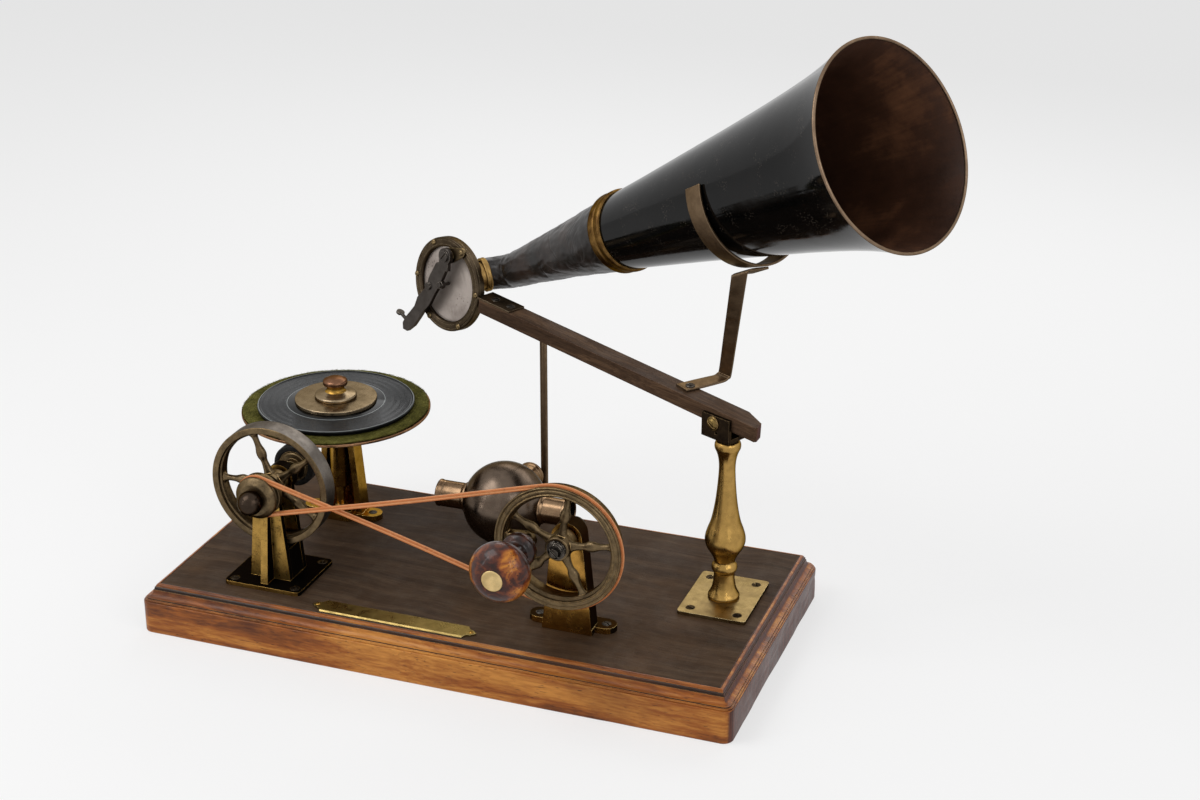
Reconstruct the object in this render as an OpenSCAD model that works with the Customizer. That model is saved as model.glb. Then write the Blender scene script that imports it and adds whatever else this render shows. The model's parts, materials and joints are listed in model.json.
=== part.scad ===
// Horn gramophone driven by hand: a crank wheel turns a flywheel through a crossed belt, and a
// friction wheel on the flywheel's shaft turns the table under the record.
// X runs to the right, Y to the back and Z up. The origin is the centre of the board's underside.

/* [Board] */
// Length of the board
board_w = 480; // [440:1:560]
// Depth of the board
board_d = 241; // [236:1:300]
// Height of the plain lower slab
plinth_h = 26.6; // [16:0.2:40]
// Thickness of the moulded top board
top_h = 12; // [10:0.5:20]
// Corner radius of the board in plan
board_round = 8; // [3:0.5:12]
// Width of the moulding around the top field
moulding_w = 11.2; // [9:0.2:16]

/* [Pillar] */
// Centre of the pillar, from the board's centre to the right
pillar_x = 191.5; // [180:0.5:205]
// Centre of the pillar, from the board's centre to the back
pillar_y = 18; // [0:0.5:40]
// Width of the pillar's foot plate
pillar_plate_w = 54; // [44:1:60]
// Depth of the pillar's foot plate
pillar_plate_d = 69; // [50:1:80]
// Thickness of the pillar's foot plate
pillar_plate_t = 3; // [2:0.2:5]
// Height of the turned column
column_h = 131.4; // [120:0.2:140]
// Radius of the column's belly
belly_r = 15.6; // [13:0.2:18]
// Radius of the column's slender neck
neck_r = 6.25; // [5.6:0.05:8]

/* [Drive] */
// Height of both wheel shafts above the underside of the board
shaft_z = 117.2; // [112:0.2:124]
// Centre of the flywheel along the board
flywheel_x = -148.5; // [-160:0.5:-140]
// Centre of the crank wheel along the board
crank_x = 96.5; // [85:0.5:110]
// Outer radius of both cast wheels
wheel_r = 49; // [44:0.5:52]
// Depth of the wheels' rims
rim_t = 6.6; // [5:0.2:9]
// Number of spokes in each wheel
spokes = 5; // [4:1:6]
// Width of the flywheel's tread
flywheel_w = 15; // [12:0.5:17]
// Width of the crank wheel's rim
crank_wheel_w = 17; // [14:0.5:18]
// Radius of the crank shaft
crank_shaft_r = 4; // [3:0.1:4.4]
// Radius of the flywheel's shaft
fly_shaft_r = 3.2; // [2.6:0.1:3.6]
// Diameter of the belt
belt_d = 3.5; // [2.6:0.1:4]
// Radius of the belt's centre line on the small pulley
pulley_belt_r = 15.8; // [13:0.2:18]
// Depth of the belt's centre line under the crank wheel's rim
belt_inset = 0.3; // [0:0.1:2]
// Radius at which the handle turns about the crank shaft
crank_throw = 25.5; // [24:0.5:28]
// Radius of the wooden knob's ball
knob_r = 22.8; // [17:0.1:23]

/* [Turntable] */
// Centre of the turntable, from the board's centre to the back
spindle_y = 48; // [44:0.5:54]
// Radius of the platter
platter_r = 76.3; // [70:0.1:80]
// Thickness of the platter
platter_t = 2.2; // [1.6:0.1:3]
// Thickness of the felt
felt_t = 1.8; // [1:0.1:3]
// Radius of the record
record_r = 63.5; // [58:0.5:66]
// Thickness of the record
record_t = 3.8; // [2:0.1:4.4]
// Radius of the clamp disc
clamp_r = 33.3; // [26:0.1:38]
// Thickness of the clamp disc
clamp_t = 3.5; // [2.5:0.1:5]

/* [Sounding ball] */
// Radius of the hollow ball
ball_r = 33.9; // [30:0.1:36]
// Distance of the ball from the board's centre to the back
ball_y = 44; // [40:0.5:46]
// Outer radius of its three tubes
tube_r = 10.8; // [8:0.1:12]
// Distance of each tube's mouth from the ball's centre
tube_reach = 57; // [48:0.5:57]

/* [Arm] */
// Direction of the arm in plan, from the pillar towards the sound box
arm_az = 154.5; // [150:0.5:160]
// Rise of the arm towards the sound box, in degrees
arm_rise = 3.44; // [2:0.02:4.5]
// Width of the wooden arm
arm_w = 17.2; // [14:0.2:20]
// Height of the wooden arm
arm_h = 11.5; // [9:0.1:13]
// Length of the arm from the pillar's axis to its sound box end
arm_reach = 269; // [262:1:270]
// Height of the tilting pivot above the underside of the board
pivot_z = 189; // [188:0.2:190]
// Radius of the rod that the arm rests on
rod_r = 3; // [2:0.1:4]

/* [Sound box] */
// Radius of the sound box
box_r = 39.5; // [38:0.1:42]
// Distance of the sound box from the pillar's axis along the arm
box_s = 309.8; // [305:0.2:316]
// Height of the sound box's centre
box_z = 216.2; // [212:0.2:222]
// Inner radius of the sound box's front ring
box_open_r = 31.5; // [28:0.1:32]

/* [Horn] */
// Length of the horn's axis, from the elbow's corner to the mouth
horn_len = 474.4; // [440:0.2:500]
// Elevation of the horn's axis, in degrees
horn_el = 25.9; // [25.5:0.1:26.3]
// Radius of the horn's mouth
mouth_r = 74.4; // [66:0.2:80]
// Radius at which the neck meets the black bell
throat_r = 30.2; // [27:0.2:32]
// Thickness of the horn's sheet metal
sheet_t = 1; // [0.6:0.1:1.6]
// Width of the strap that cradles the horn
cradle_w = 17.4; // [14:0.1:19.5]
// Width of the bent strap that carries the cradle
strap_w = 13; // [11:0.1:15]
// Thickness of both straps
strap_t = 2; // [1.4:0.1:2.4]

/* [Hidden] */

$fn = 64;
// Clearance of a shaft that turns in its bore
run_c = 0.05;
// Clearance between fixed pieces that are fitted into each other
fit_c = 0.03;
// Gap between faces that move past each other
slide_c = 0.3;
// Sliver by which a cutting body passes the face that it cuts
cut = 1;

top_z = plinth_h + top_h;

// Wood screws: head radius, head depth, shank radius and length under the plate's top
screw_head_r = 3.7;
screw_head_h = 2.2;
screw_shank_r = 1.7;
screw_len = 11;
slot_w = 1.1;

// Pillar
column_z = top_z + pillar_plate_t;
column_top_z = column_z + column_h;
column_spigot_r = 5;
column_spigot_l = pillar_plate_t + 7;
socket_r = 3.5;
socket_l = 26;
pillar_screw_in = 8.5;

// Flywheel: its stations along Y, all counted from the front of the rim
fly_front_y = -70;
fly_back_y = fly_front_y + flywheel_w;
fly_gap = 1.5;
stand_wall = 4.5;
front_boss_y = fly_front_y - fly_gap - stand_wall - 4;
rear_boss_y = fly_back_y + fly_gap + stand_wall + 4.5;
boss_r = 11.5;
stand_plate_w = 65;
stand_plate_d = 60;
stand_plate_y = -62;
stand_plate_t = 3.2;
stand_foot_w = 35;
bush_wall = 2;

// Belt and its pulleys
belt_y = -87;
belt_r = belt_d / 2;
groove_r = belt_r + slide_c;
wheel_belt_r = wheel_r - belt_inset;
shaft_gap = crank_x - flywheel_x;
belt_angle = asin((wheel_belt_r + pulley_belt_r) / shaft_gap);
belt_part = belt_r + 0.35;
pulley_r = pulley_belt_r + 1.3;
pulley_front_y = belt_y - 8;
pulley_back_y = front_boss_y - slide_c;
nut_ball_r = 9.6;

// Friction wheel, which touches the platter's underside near its rim
friction_w = 10;
friction_back_y = -20;
friction_r = 17;
tyre_t = 4.5;

// Crank wheel and its handle
crank_front_y = -91;
crank_back_y = crank_front_y + crank_wheel_w;
crank_stand_y = crank_back_y + 3;
hub_r = 9.5;
hub_screw_r = 5;
pin_r = 2.5;
knob_y = -136.4;
knob_flat = 15.4;
collar_r = 13;
collar_t = 8;
cap_r = 8.2;
cap_t = 1.6;
lug_r = 7;
lug_t = 7;
lug_boss = 5.4;

// Bearing stands: a channel that narrows upwards, on a foot with two ears
channel_d = 14;
channel_wall = 5.2;
channel_back = 4;
channel_foot_w = 40;
channel_top_w = 24;
ear_reach = 34.5;
ear_r = 8;
ear_t = 5;
ear_screw_x = 26.5;
ledge_h = 9.4;

// Turntable
platter_z = shaft_z + friction_r + 0.2;
felt_z = platter_z + platter_t;
record_z = felt_z + felt_t;
clamp_z = record_z + record_t;
post_r = 4.2;
sleeve_r = 7.4;
sleeve_l = 67.2;
pin_top_r = 3;
knob_top_r = 9.8;
knob_top_z = clamp_z + clamp_t + 17.5;
land_r = 39.6;

// Ball
ball_wall = 2.5;
ball_foot_h = 4;
ball_z = top_z + ball_foot_h + ball_r;
tube_wall = 1.4;

// Arm, in its own frame: s runs from the pillar to the sound box, t to the front, z up
arm_mid_z = 192.2;
arm_slope = tan(arm_rise);
pivot_s = 4.4;
pivot_r = 2.2;
tail_s = 34;
function arm_top(s) = arm_mid_z + s * arm_slope + arm_h / 2 / cos(arm_rise);
function arm_under(s) = arm_mid_z + s * arm_slope - arm_h / 2 / cos(arm_rise);
fork_gap = arm_w + 2 * slide_c;
fork_wall = 3;
fork_s0 = -11;
fork_s1 = 16.3;
fork_z0 = column_top_z + 3.2;
fork_top_z = 195;
rod_x = 10;
rod_y = 105.5;
rod_s = (rod_x - pillar_x) * cos(arm_az) + (rod_y - pillar_y) * sin(arm_az);
rod_top_z = arm_under(rod_s) - rod_r * arm_slope - slide_c / 2;
plate_t = 1.6;
plate_s0 = 233;
plate_s1 = (box_s - box_r - 0.06 + (arm_h / 2 + plate_t) * sin(arm_rise)) / cos(arm_rise);
plate_screw_s = [240, 258];

// Sound box, in a frame whose z axis leaves its front and whose y axis climbs in its plane
box_t = 8;
box_lean = 6.5;
ring_t = 2.6;
case_t = 4.8;
seat_r = box_open_r + 2.4;
gasket_t = 0.75;
diaphragm_t = 0.55;
box_screw_pcd_r = (seat_r + box_r) / 2;
box_screws = 6;
box_screw_r = 1.1;
bracket_t = 2.2;
bar_z = bracket_t + 1.6;
bar_t = 3.6;
bracket_pivot = [3.9, 25.8];
stylus_pin_r = 2;
rock_c = 0.3;
needle_at = [-40.2, -46.5];
needle_r = 0.9;
needle_deep = 3.6;
thumb_at = [-38.4, -41.6];
thumb_dir = 155;
thumb_r = 1.5;
stylus_outline = [
    [8.5, 20], [5.2, 11.6], [-0.8, -1.2], [-6.8, -11.4], [-11.6, -20], [-18.2, -27],
    [-23.6, -35], [-29.4, -43], [-37.2, -49.6], [-42.6, -49], [-43.6, -43.6], [-39.6, -37],
    [-34.4, -31], [-29.8, -25.4], [-26.6, -16.6], [-16.6, -5.5], [-13, 5.1], [-5.6, 18.3]];

// Horn: distances run along its axis from the elbow's corner
horn_t = -24;
corner_k = (box_t - horn_t) / cos(box_lean);
corner = [box_s, horn_t, box_z - corner_k * sin(box_lean)];
// The hand-made neck drops a little below the bell's axis as it nears the elbow
neck_tilt = 1.1;
elbow_r = 10.2;
elbow_bend = 11;
elbow_wall = 1.5;
elbow_ring_d = 12;
elbow_ring_w = 5.5;
neck_d0 = elbow_ring_d + elbow_ring_w;
neck_r0 = 14;
neck_d1 = 194;
horn_ring_d = 188.5;
horn_ring_w = 14.5;
bell_d0 = neck_d1 + 0.7;
rim_r = 1.5;
cradle_d = 329.3;
cradle_slack = 1.6;
cradle_drop = 3.6;
cradle_arc = 112;
function bell_u(d) = (d - bell_d0) / (horn_len - bell_d0);
function bell_shape(u) = 0.772 * u + 0.088 * u * u + 0.14 * pow(u, 9);
function bell_r(d) = throat_r - 0.6 + (mouth_r - throat_r + 0.6) * bell_shape(bell_u(d));
function neck_u(d) = (d - neck_d0) / (neck_d1 - neck_d0);
function neck_at(d) = neck_r0
    + (throat_r + 0.4 - neck_r0) * pow(neck_u(d), 2) * (1.66 - 0.66 * neck_u(d));

// Colours
brass = "#a8894a";
old_brass = "#7c6a45";
bronze = "#5d5346";
dark_iron = "#2f2c28";
steel = "#6e6b66";
walnut = "#57402f";
oak = "#a5662c";

// Frames
module at_plan(x, y, z) translate([x, y, z]) children();
module along_y(x, y, z) translate([x, y, z]) rotate([-90, 0, 0]) children();
module in_arm() translate([pillar_x, pillar_y, 0]) rotate([0, 0, arm_az]) children();
module in_bar() in_arm() translate([0, 0, arm_mid_z]) rotate([0, -arm_rise, 0]) children();
module in_box() in_arm() translate([box_s, box_t, box_z]) rotate([box_lean, 0, 0])
    rotate([90, 0, 180]) children();
module in_horn() in_arm() translate(corner) rotate([0, horn_el - 90, 0]) children();
module in_neck() in_arm() translate(neck_corner) rotate([0, horn_el + neck_tilt - 90, 0]) children();

// Shared shapes
module rounded_plate(w, d, r, h) linear_extrude(h) {
    square([w - 2 * r, d], center = true);
    square([w, d - 2 * r], center = true);
    for (x = [-1, 1], y = [-1, 1]) translate([x * (w / 2 - r), y * (d / 2 - r)]) circle(r);
}

module ring(outer, inner, h) difference() {
    cylinder(h = h, r = outer);
    translate([0, 0, -cut]) cylinder(h = h + 2 * cut, r = inner);
}

// A slotted screw whose head lies in a countersink and whose top is level with z = 0
module wood_screw(turn = 0, dome = 0.5) difference() {
    rotate_extrude() polygon([
        [0, dome], [screw_head_r * 0.55, dome * 0.7], [screw_head_r - 0.1, 0],
        [screw_shank_r - 0.1, -screw_head_h], [screw_shank_r - 0.1, -screw_len + 2],
        [0, -screw_len]]);
    rotate(turn) translate([0, 0, dome]) cube([3 * screw_head_r, slot_w, 2.2], center = true);
}

module countersink(t) {
    translate([0, 0, -t - cut]) cylinder(h = t + 2 * cut, r = screw_shank_r);
    translate([0, 0, -screw_head_h])
        cylinder(h = screw_head_h + 0.001, r1 = screw_shank_r, r2 = screw_head_r);
    cylinder(h = cut, r = screw_head_r);
}

module pilot(depth) translate([0, 0, -depth]) cylinder(h = depth + cut, r = screw_shank_r);

// Places of the screws in plan
function corners4(x, y, dx, dy) = [for (i = [-1, 1], j = [-1, 1]) [x + i * dx, y + j * dy]];
pillar_screw_at = corners4(pillar_x, pillar_y, pillar_plate_w / 2 - pillar_screw_in,
    pillar_plate_d / 2 - pillar_screw_in);
fly_stand_screw_at = corners4(flywheel_x, stand_plate_y, stand_plate_w / 2 - 6.5,
    stand_plate_d / 2 - 6.5);
crank_ear_y = crank_stand_y + channel_d;
turntable_ear_y = spindle_y + 4;
crank_screw_at = [for (i = [-1, 1]) [crank_x + i * ear_screw_x, crank_ear_y]];
turntable_screw_at = [for (i = [-1, 1]) [flywheel_x + i * ear_screw_x, turntable_ear_y]];

// Board
function arc_points(c, r, a0, a1, n) = [for (i = [0:n]) let (a = a0 + (a1 - a0) * i / n)
    [c[0] + r * cos(a), c[1] + r * sin(a)]];

// Section of the moulding: distance in from the edge against height above the slab
moulding_lip = 1.2;
cove_r = 6;
bead_r = 2;
moulding = concat(
    [[moulding_lip, 0], [moulding_lip, 1.2], [moulding_lip + 1.4, 1.2], [moulding_lip + 1.4, 2.4]],
    arc_points([moulding_lip + 1.4, 2.4 + cove_r * 0.86], cove_r * 0.86, -90, 0, 6),
    [[moulding_w - bead_r - 0.8, 2.4 + cove_r * 0.86], [moulding_w - bead_r - 0.8, top_h - bead_r - 0.6]],
    arc_points([moulding_w, top_h - bead_r], bead_r, 180, 90, 5));

module moulded_prism(width, length) rotate([90, 0, 0]) translate([0, 0, -length / 2])
    linear_extrude(length) polygon(concat(
        [for (p = moulding) [-width / 2 + p[0], p[1]]],
        [for (i = [len(moulding) - 1:-1:0]) [width / 2 - moulding[i][0], moulding[i][1]]]));

module plinth() color(oak) rounded_plate(board_w, board_d, board_round, plinth_h);

module top_board() color(walnut) difference() {
    translate([0, 0, plinth_h]) intersection() {
        moulded_prism(board_w, board_d);
        rotate(90) moulded_prism(board_d, board_w);
        rounded_plate(board_w, board_d, board_round, top_h);
    }
    for (p = concat(pillar_screw_at, fly_stand_screw_at, crank_screw_at, turntable_screw_at))
        at_plan(p[0], p[1], top_z) pilot(screw_len - 3);
    at_plan(pillar_x, pillar_y, column_z - column_spigot_l)
        cylinder(h = column_spigot_l, r = column_spigot_r + fit_c);
    at_plan(rod_x, rod_y, top_z - rod_seat) cylinder(h = rod_seat + cut, r = rod_r + fit_c);
    for (x = name_pin_x) at_plan(name_x + x, name_y, top_z - name_pin_l)
        cylinder(h = name_pin_l + cut, r = name_pin_r + fit_c);
}
rod_seat = 9;

// Nameplate, left bare: a strip with a pinned ear at each end
name_x = -32.5;
name_y = -99;
name_w = 135;
name_d = 16;
name_t = 1.6;
name_pin_r = 1;
name_pin_l = 6;
name_ear = 9;
name_pin_x = [-name_w / 2 + 4, name_w / 2 - 4];
function half_name(k) = [
    [k * (name_w / 2 - name_ear), name_d / 2], [k * (name_w / 2 - name_ear + 2.5), name_d / 2 - 3.5],
    [k * (name_w / 2 - 3), 3], [k * name_w / 2, 0], [k * (name_w / 2 - 3), -3],
    [k * (name_w / 2 - name_ear + 2.5), -name_d / 2 + 3.5], [k * (name_w / 2 - name_ear), -name_d / 2]];

module nameplate() color(brass) at_plan(name_x, name_y, top_z) difference() {
    linear_extrude(name_t) polygon(concat(half_name(1),
        [for (i = [len(half_name(-1)) - 1:-1:0]) half_name(-1)[i]]));
    translate([-name_w, -name_d / 2, name_t - name_bevel]) rotate([45, 0, 0])
        translate([0, -4, 0]) cube([2 * name_w, 8, 4]);
    for (x = name_pin_x) translate([x, 0, -cut]) cylinder(h = name_t + 2 * cut, r = name_pin_r + fit_c);
}
name_bevel = 1;

module nameplate_pins() color(brass) for (x = name_pin_x) at_plan(name_x + x, name_y, top_z)
    rotate_extrude() polygon([
        [0, name_t + 0.9], [1.2, name_t + 0.6], [1.8, name_t], [name_pin_r, name_t],
        [name_pin_r, -name_pin_l + 1], [0, -name_pin_l]]);

// Pillar
module pillar_plate() color(brass) difference() {
    at_plan(pillar_x, pillar_y, top_z) rounded_plate(pillar_plate_w, pillar_plate_d, 3, pillar_plate_t);
    for (p = pillar_screw_at) at_plan(p[0], p[1], column_z) countersink(pillar_plate_t);
    at_plan(pillar_x, pillar_y, top_z - cut)
        cylinder(h = pillar_plate_t + 2 * cut, r = column_spigot_r + fit_c);
}

module pillar_screws() color(steel) for (i = [0:3])
    at_plan(pillar_screw_at[i][0], pillar_screw_at[i][1], column_z) wood_screw([-20, 80, 40, -55][i], 0);

// Outline of the column: radius against height, with its belly and neck as named values
column_outline = [
    [11.9, 0], [12.2, 1.2], [11.9, 2.6], [10.6, 5], [9.3, 8.5], [8.4, 13], [8, 17], [8.1, 21.4],
    [9.1, 22.6], [9.8, 24.4], [9.9, 26], [9.5, 28], [8.4, 29.8], [8, 31], [8.8, 33.6],
    [belly_r - 4.6, 38], [belly_r - 2, 42.2], [belly_r - 0.4, 46.4], [belly_r, 49.5],
    [belly_r - 0.5, 53.5], [belly_r - 2, 58.5], [belly_r - 4.1, 64.5],
    [neck_r + 3.4, 73], [neck_r + 1.9, 83], [neck_r + 0.8, 94], [neck_r + 0.2, 103], [neck_r, 109.4],
    [neck_r + 0.3, 114.5], [neck_r + 1.2, 119.4], [8.8, 123.2], [9.7, 125.2], [10, 127.2],
    [9.8, 129.2], [9, 130.8], [8.2, 131.4]];

module pillar_column() color(brass) at_plan(pillar_x, pillar_y, column_z) difference() {
    rotate_extrude() polygon(concat(
        [[0, -column_spigot_l + 0.5], [column_spigot_r, -column_spigot_l + 0.5], [column_spigot_r, 0]],
        [for (p = column_outline) [p[0], p[1] * column_h / 131.4]], [[0, column_h]]));
    translate([0, 0, column_h - socket_l]) cylinder(h = socket_l + cut, r = socket_r + run_c);
}

// Cast stands
module upright(w0, w1, h, t) rotate([90, 0, 0]) translate([0, 0, -t]) linear_extrude(t)
    polygon([[-w0 / 2, 0], [w0 / 2, 0], [w1 / 2, h], [-w1 / 2, h]]);

module flywheel_stand() color(dark_iron) difference() {
    union() {
        at_plan(flywheel_x, stand_plate_y, top_z) rounded_plate(stand_plate_w, stand_plate_d, 4, stand_plate_t);
        for (y = [fly_front_y - fly_gap - stand_wall, fly_back_y + fly_gap])
            at_plan(flywheel_x, y, top_z) upright(stand_foot_w, 2 * boss_r - 3, shaft_z - top_z, stand_wall);
        at_plan(flywheel_x, fly_front_y - fly_gap - cut, top_z)
            upright(stand_foot_w, 29, shaft_z - wheel_r - 2 - top_z, flywheel_w + 2 * fly_gap + 2 * cut);
        for (span = bearing_spans)
            along_y(flywheel_x, span[0], shaft_z) cylinder(h = span[1] - span[0], r = boss_r);
        at_plan(flywheel_x - stand_rib / 2, fly_front_y - fly_gap - stand_wall, top_z) rotate([90, 0, 90])
            linear_extrude(stand_rib) polygon([[cut, 0], [-11, 0], [-11, 3], [-4, 62], [cut, 62]]);
    }
    for (p = fly_stand_screw_at) at_plan(p[0], p[1], top_z + stand_plate_t) countersink(stand_plate_t);
    along_y(flywheel_x, front_boss_y - cut, shaft_z)
        cylinder(h = rear_boss_y - front_boss_y + 2 * cut, r = fly_shaft_r + bush_wall + fit_c);
}
stand_rib = 6;
bearing_spans = [[front_boss_y, fly_front_y - fly_gap], [fly_back_y + fly_gap, rear_boss_y]];

module flywheel_stand_screws() color(dark_iron) for (i = [0:3])
    at_plan(fly_stand_screw_at[i][0], fly_stand_screw_at[i][1], top_z + stand_plate_t)
        wood_screw([10, 60, -40, 95][i], 0.8);

module flywheel_bushes() color(brass)
    for (span = bearing_spans)
        along_y(flywheel_x, span[0], shaft_z)
            ring(fly_shaft_r + bush_wall, fly_shaft_r + run_c, span[1] - span[0]);

// A channel that opens to +Y, standing at y = 0 with its ears at ear_y
module bearing_stand(h, ear_y, boss) difference() {
    union() {
        difference() {
            upright(channel_foot_w, channel_top_w, h, channel_d);
            translate([0, channel_back, ledge_h]) upright(channel_foot_w - 2 * channel_wall - 2,
                channel_top_w - 2 * channel_wall, h - ledge_h + cut, channel_d);
        }
        translate([0, ear_y, 0]) rounded_plate(2 * ear_reach, 2 * ear_r, ear_r - 0.05, ear_t);
        translate([-channel_foot_w / 2, 0, 0]) cube([channel_foot_w, ear_y, ear_t]);
        if (boss) translate([0, 0, h]) rotate([-90, 0, 0]) cylinder(h = channel_d, r = channel_top_w / 2);
    }
    if (boss) translate([0, -cut, h]) rotate([-90, 0, 0])
        cylinder(h = channel_d + 2 * cut, r = crank_shaft_r + bush_wall + fit_c);
    for (i = [-1, 1]) translate([i * ear_screw_x, ear_y, ear_t]) countersink(ear_t);
}

module crank_stand() color(brass) at_plan(crank_x, crank_stand_y, top_z)
    bearing_stand(shaft_z - top_z, channel_d, true);

ear_screw_at = concat(crank_screw_at, turntable_screw_at);
module ear_screws() color(steel) for (i = [0:3])
    at_plan(ear_screw_at[i][0], ear_screw_at[i][1], top_z + ear_t) wood_screw([25, -35, 70, 15][i], 0.6);

module crank_bush() color(old_brass) along_y(crank_x, crank_stand_y - 1.2, shaft_z) {
    ring(crank_shaft_r + bush_wall, crank_shaft_r + run_c, channel_d + 1.2);
    ring(crank_shaft_r + bush_wall + 1.5, crank_shaft_r + run_c, 1.2 - fit_c);
}

module turntable_stand() color(brass) difference() {
    union() {
        at_plan(flywheel_x, stand_back_y, top_z) rotate(180)
            bearing_stand(platter_z - 2.5 - top_z, stand_back_y - turntable_ear_y, false);
        at_plan(flywheel_x, spindle_y, top_z) rounded_plate(26, 22, 4, ledge_h);
    }
    at_plan(flywheel_x, spindle_y, top_z + ledge_h - 6) cylinder(h = 6 + cut, r = pin_top_r + fit_c);
    at_plan(flywheel_x, spindle_y, platter_z - sleeve_l - 3 * slide_c)
        cylinder(h = sleeve_l, r = sleeve_r + 1.5 * slide_c);
}
stand_back_y = spindle_y + sleeve_r + 0.8 + channel_back;

module spindle_post() color(brass) at_plan(flywheel_x, spindle_y, top_z + ledge_h) {
    translate([0, 0, -5.8]) cylinder(h = 5.9, r = pin_top_r);
    cylinder(h = platter_z - top_z - ledge_h - 5, r = post_r);
    cylinder(h = 2, r = post_r + 1.4);
}

// Hollow ball with three tubes
module sounding_ball() color(bronze) at_plan(0, ball_y, ball_z) difference() {
    sphere(ball_r);
    sphere(ball_r - ball_wall);
    for (a = [0, 90, 180]) rotate([0, 90, a]) cylinder(h = ball_r + cut, r = tube_r + fit_c);
}

module ball_tubes() color(old_brass) at_plan(0, ball_y, ball_z) for (a = [0, 90, 180])
    rotate([0, 90, a]) translate([0, 0, ball_r - 5.2]) {
        ring(tube_r, tube_r - tube_wall, tube_reach - ball_r + 5.2);
        translate([0, 0, tube_reach - ball_r - 1.6]) ring(tube_r + 0.4, tube_r - 0.5, 1);
    }

module ball_foot() color(bronze) difference() {
    at_plan(0, ball_y, top_z) cylinder(h = ball_foot_h + 3, r1 = 15, r2 = 12.5);
    at_plan(0, ball_y, ball_z) sphere(ball_r + fit_c);
}

module rest_rod() color(bronze) at_plan(rod_x, rod_y, top_z - rod_seat + 0.3)
    cylinder(h = rod_top_z - top_z + rod_seat - 0.3, r = rod_r);

// Crossed belt: two strands that pass each other and a bend around each wheel
belt_strand_rings = 12;
belt_wheel_rings = 22;
belt_pulley_rings = 14;
belt_wrap = 180 + 2 * belt_angle;
small_out = [pulley_belt_r * sin(belt_angle), pulley_belt_r * cos(belt_angle)];
big_in = [shaft_gap - wheel_belt_r * sin(belt_angle), -wheel_belt_r * cos(belt_angle)];
function strand(p, q, side) = [for (i = [0:belt_strand_rings - 1]) let (u = i / belt_strand_rings)
    [p[0] + (q[0] - p[0]) * u, side * belt_part * pow(sin(180 * u), 2), p[1] + (q[1] - p[1]) * u]];
function wrap(c, r, a0, sweep, n) = [for (i = [0:n - 1]) let (a = a0 + sweep * i / n)
    [c + r * cos(a), 0, r * sin(a)]];
belt_path = concat(
    strand(small_out, big_in, 1),
    wrap(shaft_gap, wheel_belt_r, 270 - belt_angle, belt_wrap, belt_wheel_rings),
    strand([big_in[0], -big_in[1]], [small_out[0], -small_out[1]], -1),
    wrap(0, pulley_belt_r, -90 + belt_angle, -belt_wrap, belt_pulley_rings));

function unit(v) = v / norm(v);

// A closed tube of the given radius and sides whose centre line is a loop of points
module closed_tube(path, r, sides) {
    n = len(path);
    points = [for (i = [0:n - 1]) let (
        t = unit(path[(i + 1) % n] - path[(i + n - 1) % n]),
        b = unit(cross(t, cross([0, 1, 0], t))),
        c = cross(b, t))
        for (j = [0:sides - 1]) path[i] + r * (cos(360 * j / sides) * b + sin(360 * j / sides) * c)];
    faces = [for (i = [0:n - 1], j = [0:sides - 1]) let (
        a = i * sides + j, b = i * sides + (j + 1) % sides,
        c = ((i + 1) % n) * sides + (j + 1) % sides, d = ((i + 1) % n) * sides + j)
        each [[a, b, c], [a, c, d]]];
    polyhedron(points, faces);
}

module drive_belt() color("#c08a5c") translate([flywheel_x, belt_y, shaft_z])
    closed_tube(belt_path, belt_r, 8);

// Wheels: a rim, a hub and waisted spokes, drawn about +Z with the front face at z = 0
function spoke_outline(r0, r1, w) = let (m = (r0 + r1) / 2, half = [
    [r0, 0.8], [r0 + 3, 0.5], [m - 7, 0.38], [m - 3, 0.56], [m, 0.6], [m + 3, 0.5], [m + 7, 0.36],
    [r1 - 5, 0.36], [r1 - 2, 0.62], [r1 + 1, 1.05]])
    concat([for (p = half) [p[0], -w * p[1]]], [for (i = [len(half) - 1:-1:0]) [half[i][0], w * half[i][1]]]);

module wheel_spokes(first, z0, t) for (i = [0:spokes - 1]) rotate(first + i * 360 / spokes)
    translate([0, 0, z0]) linear_extrude(t) polygon(spoke_outline(hub_r - 1.5, wheel_r - rim_t, 7));

module drive_wheel() color(old_brass) along_y(crank_x, crank_front_y, shaft_z) difference() {
    union() {
        ring(wheel_r, wheel_r - rim_t, crank_wheel_w);
        translate([0, 0, 3]) ring(wheel_r - rim_t + 1, wheel_r - rim_t - 2.2, 6);
        wheel_spokes(-8, 4.4, 5);
        cylinder(h = crank_wheel_w + 1.5, r = hub_r);
        intersection() {
            translate([0, 0, 2.4]) linear_extrude(lug_t) union() {
                translate([-crank_throw, 0]) circle(lug_r);
                translate([-wheel_r + 2, -lug_r * 0.8]) square([wheel_r - crank_throw, lug_r * 1.6]);
            }
            cylinder(h = crank_wheel_w, r = wheel_r - rim_t + 1);
        }
        translate([-crank_throw, 0, -lug_boss]) cylinder(h = lug_boss + 4, r = lug_r - 0.5);
    }
    translate([0, 0, belt_y - crank_front_y]) rotate_extrude() translate([wheel_belt_r, 0]) {
        circle(groove_r);
        translate([0, -groove_r]) square([2 * groove_r, 2 * groove_r]);
    }
    translate([0, 0, -cut]) cylinder(h = crank_wheel_w + 2.5 + 2 * cut, r = crank_shaft_r + fit_c);
    translate([-crank_throw, 0, -lug_boss - cut]) cylinder(h = 4 * lug_t, r = pin_r + fit_c);
}

crank_tail_y = crank_stand_y + channel_d + 8.5;
module crank_shaft() color(steel) along_y(crank_x, crank_front_y + 0.2, shaft_z) difference() {
    cylinder(h = crank_tail_y - crank_front_y, r = crank_shaft_r);
    translate([0, 0, -cut]) cylinder(h = 10 + cut, r = 2 + fit_c);
}

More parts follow.
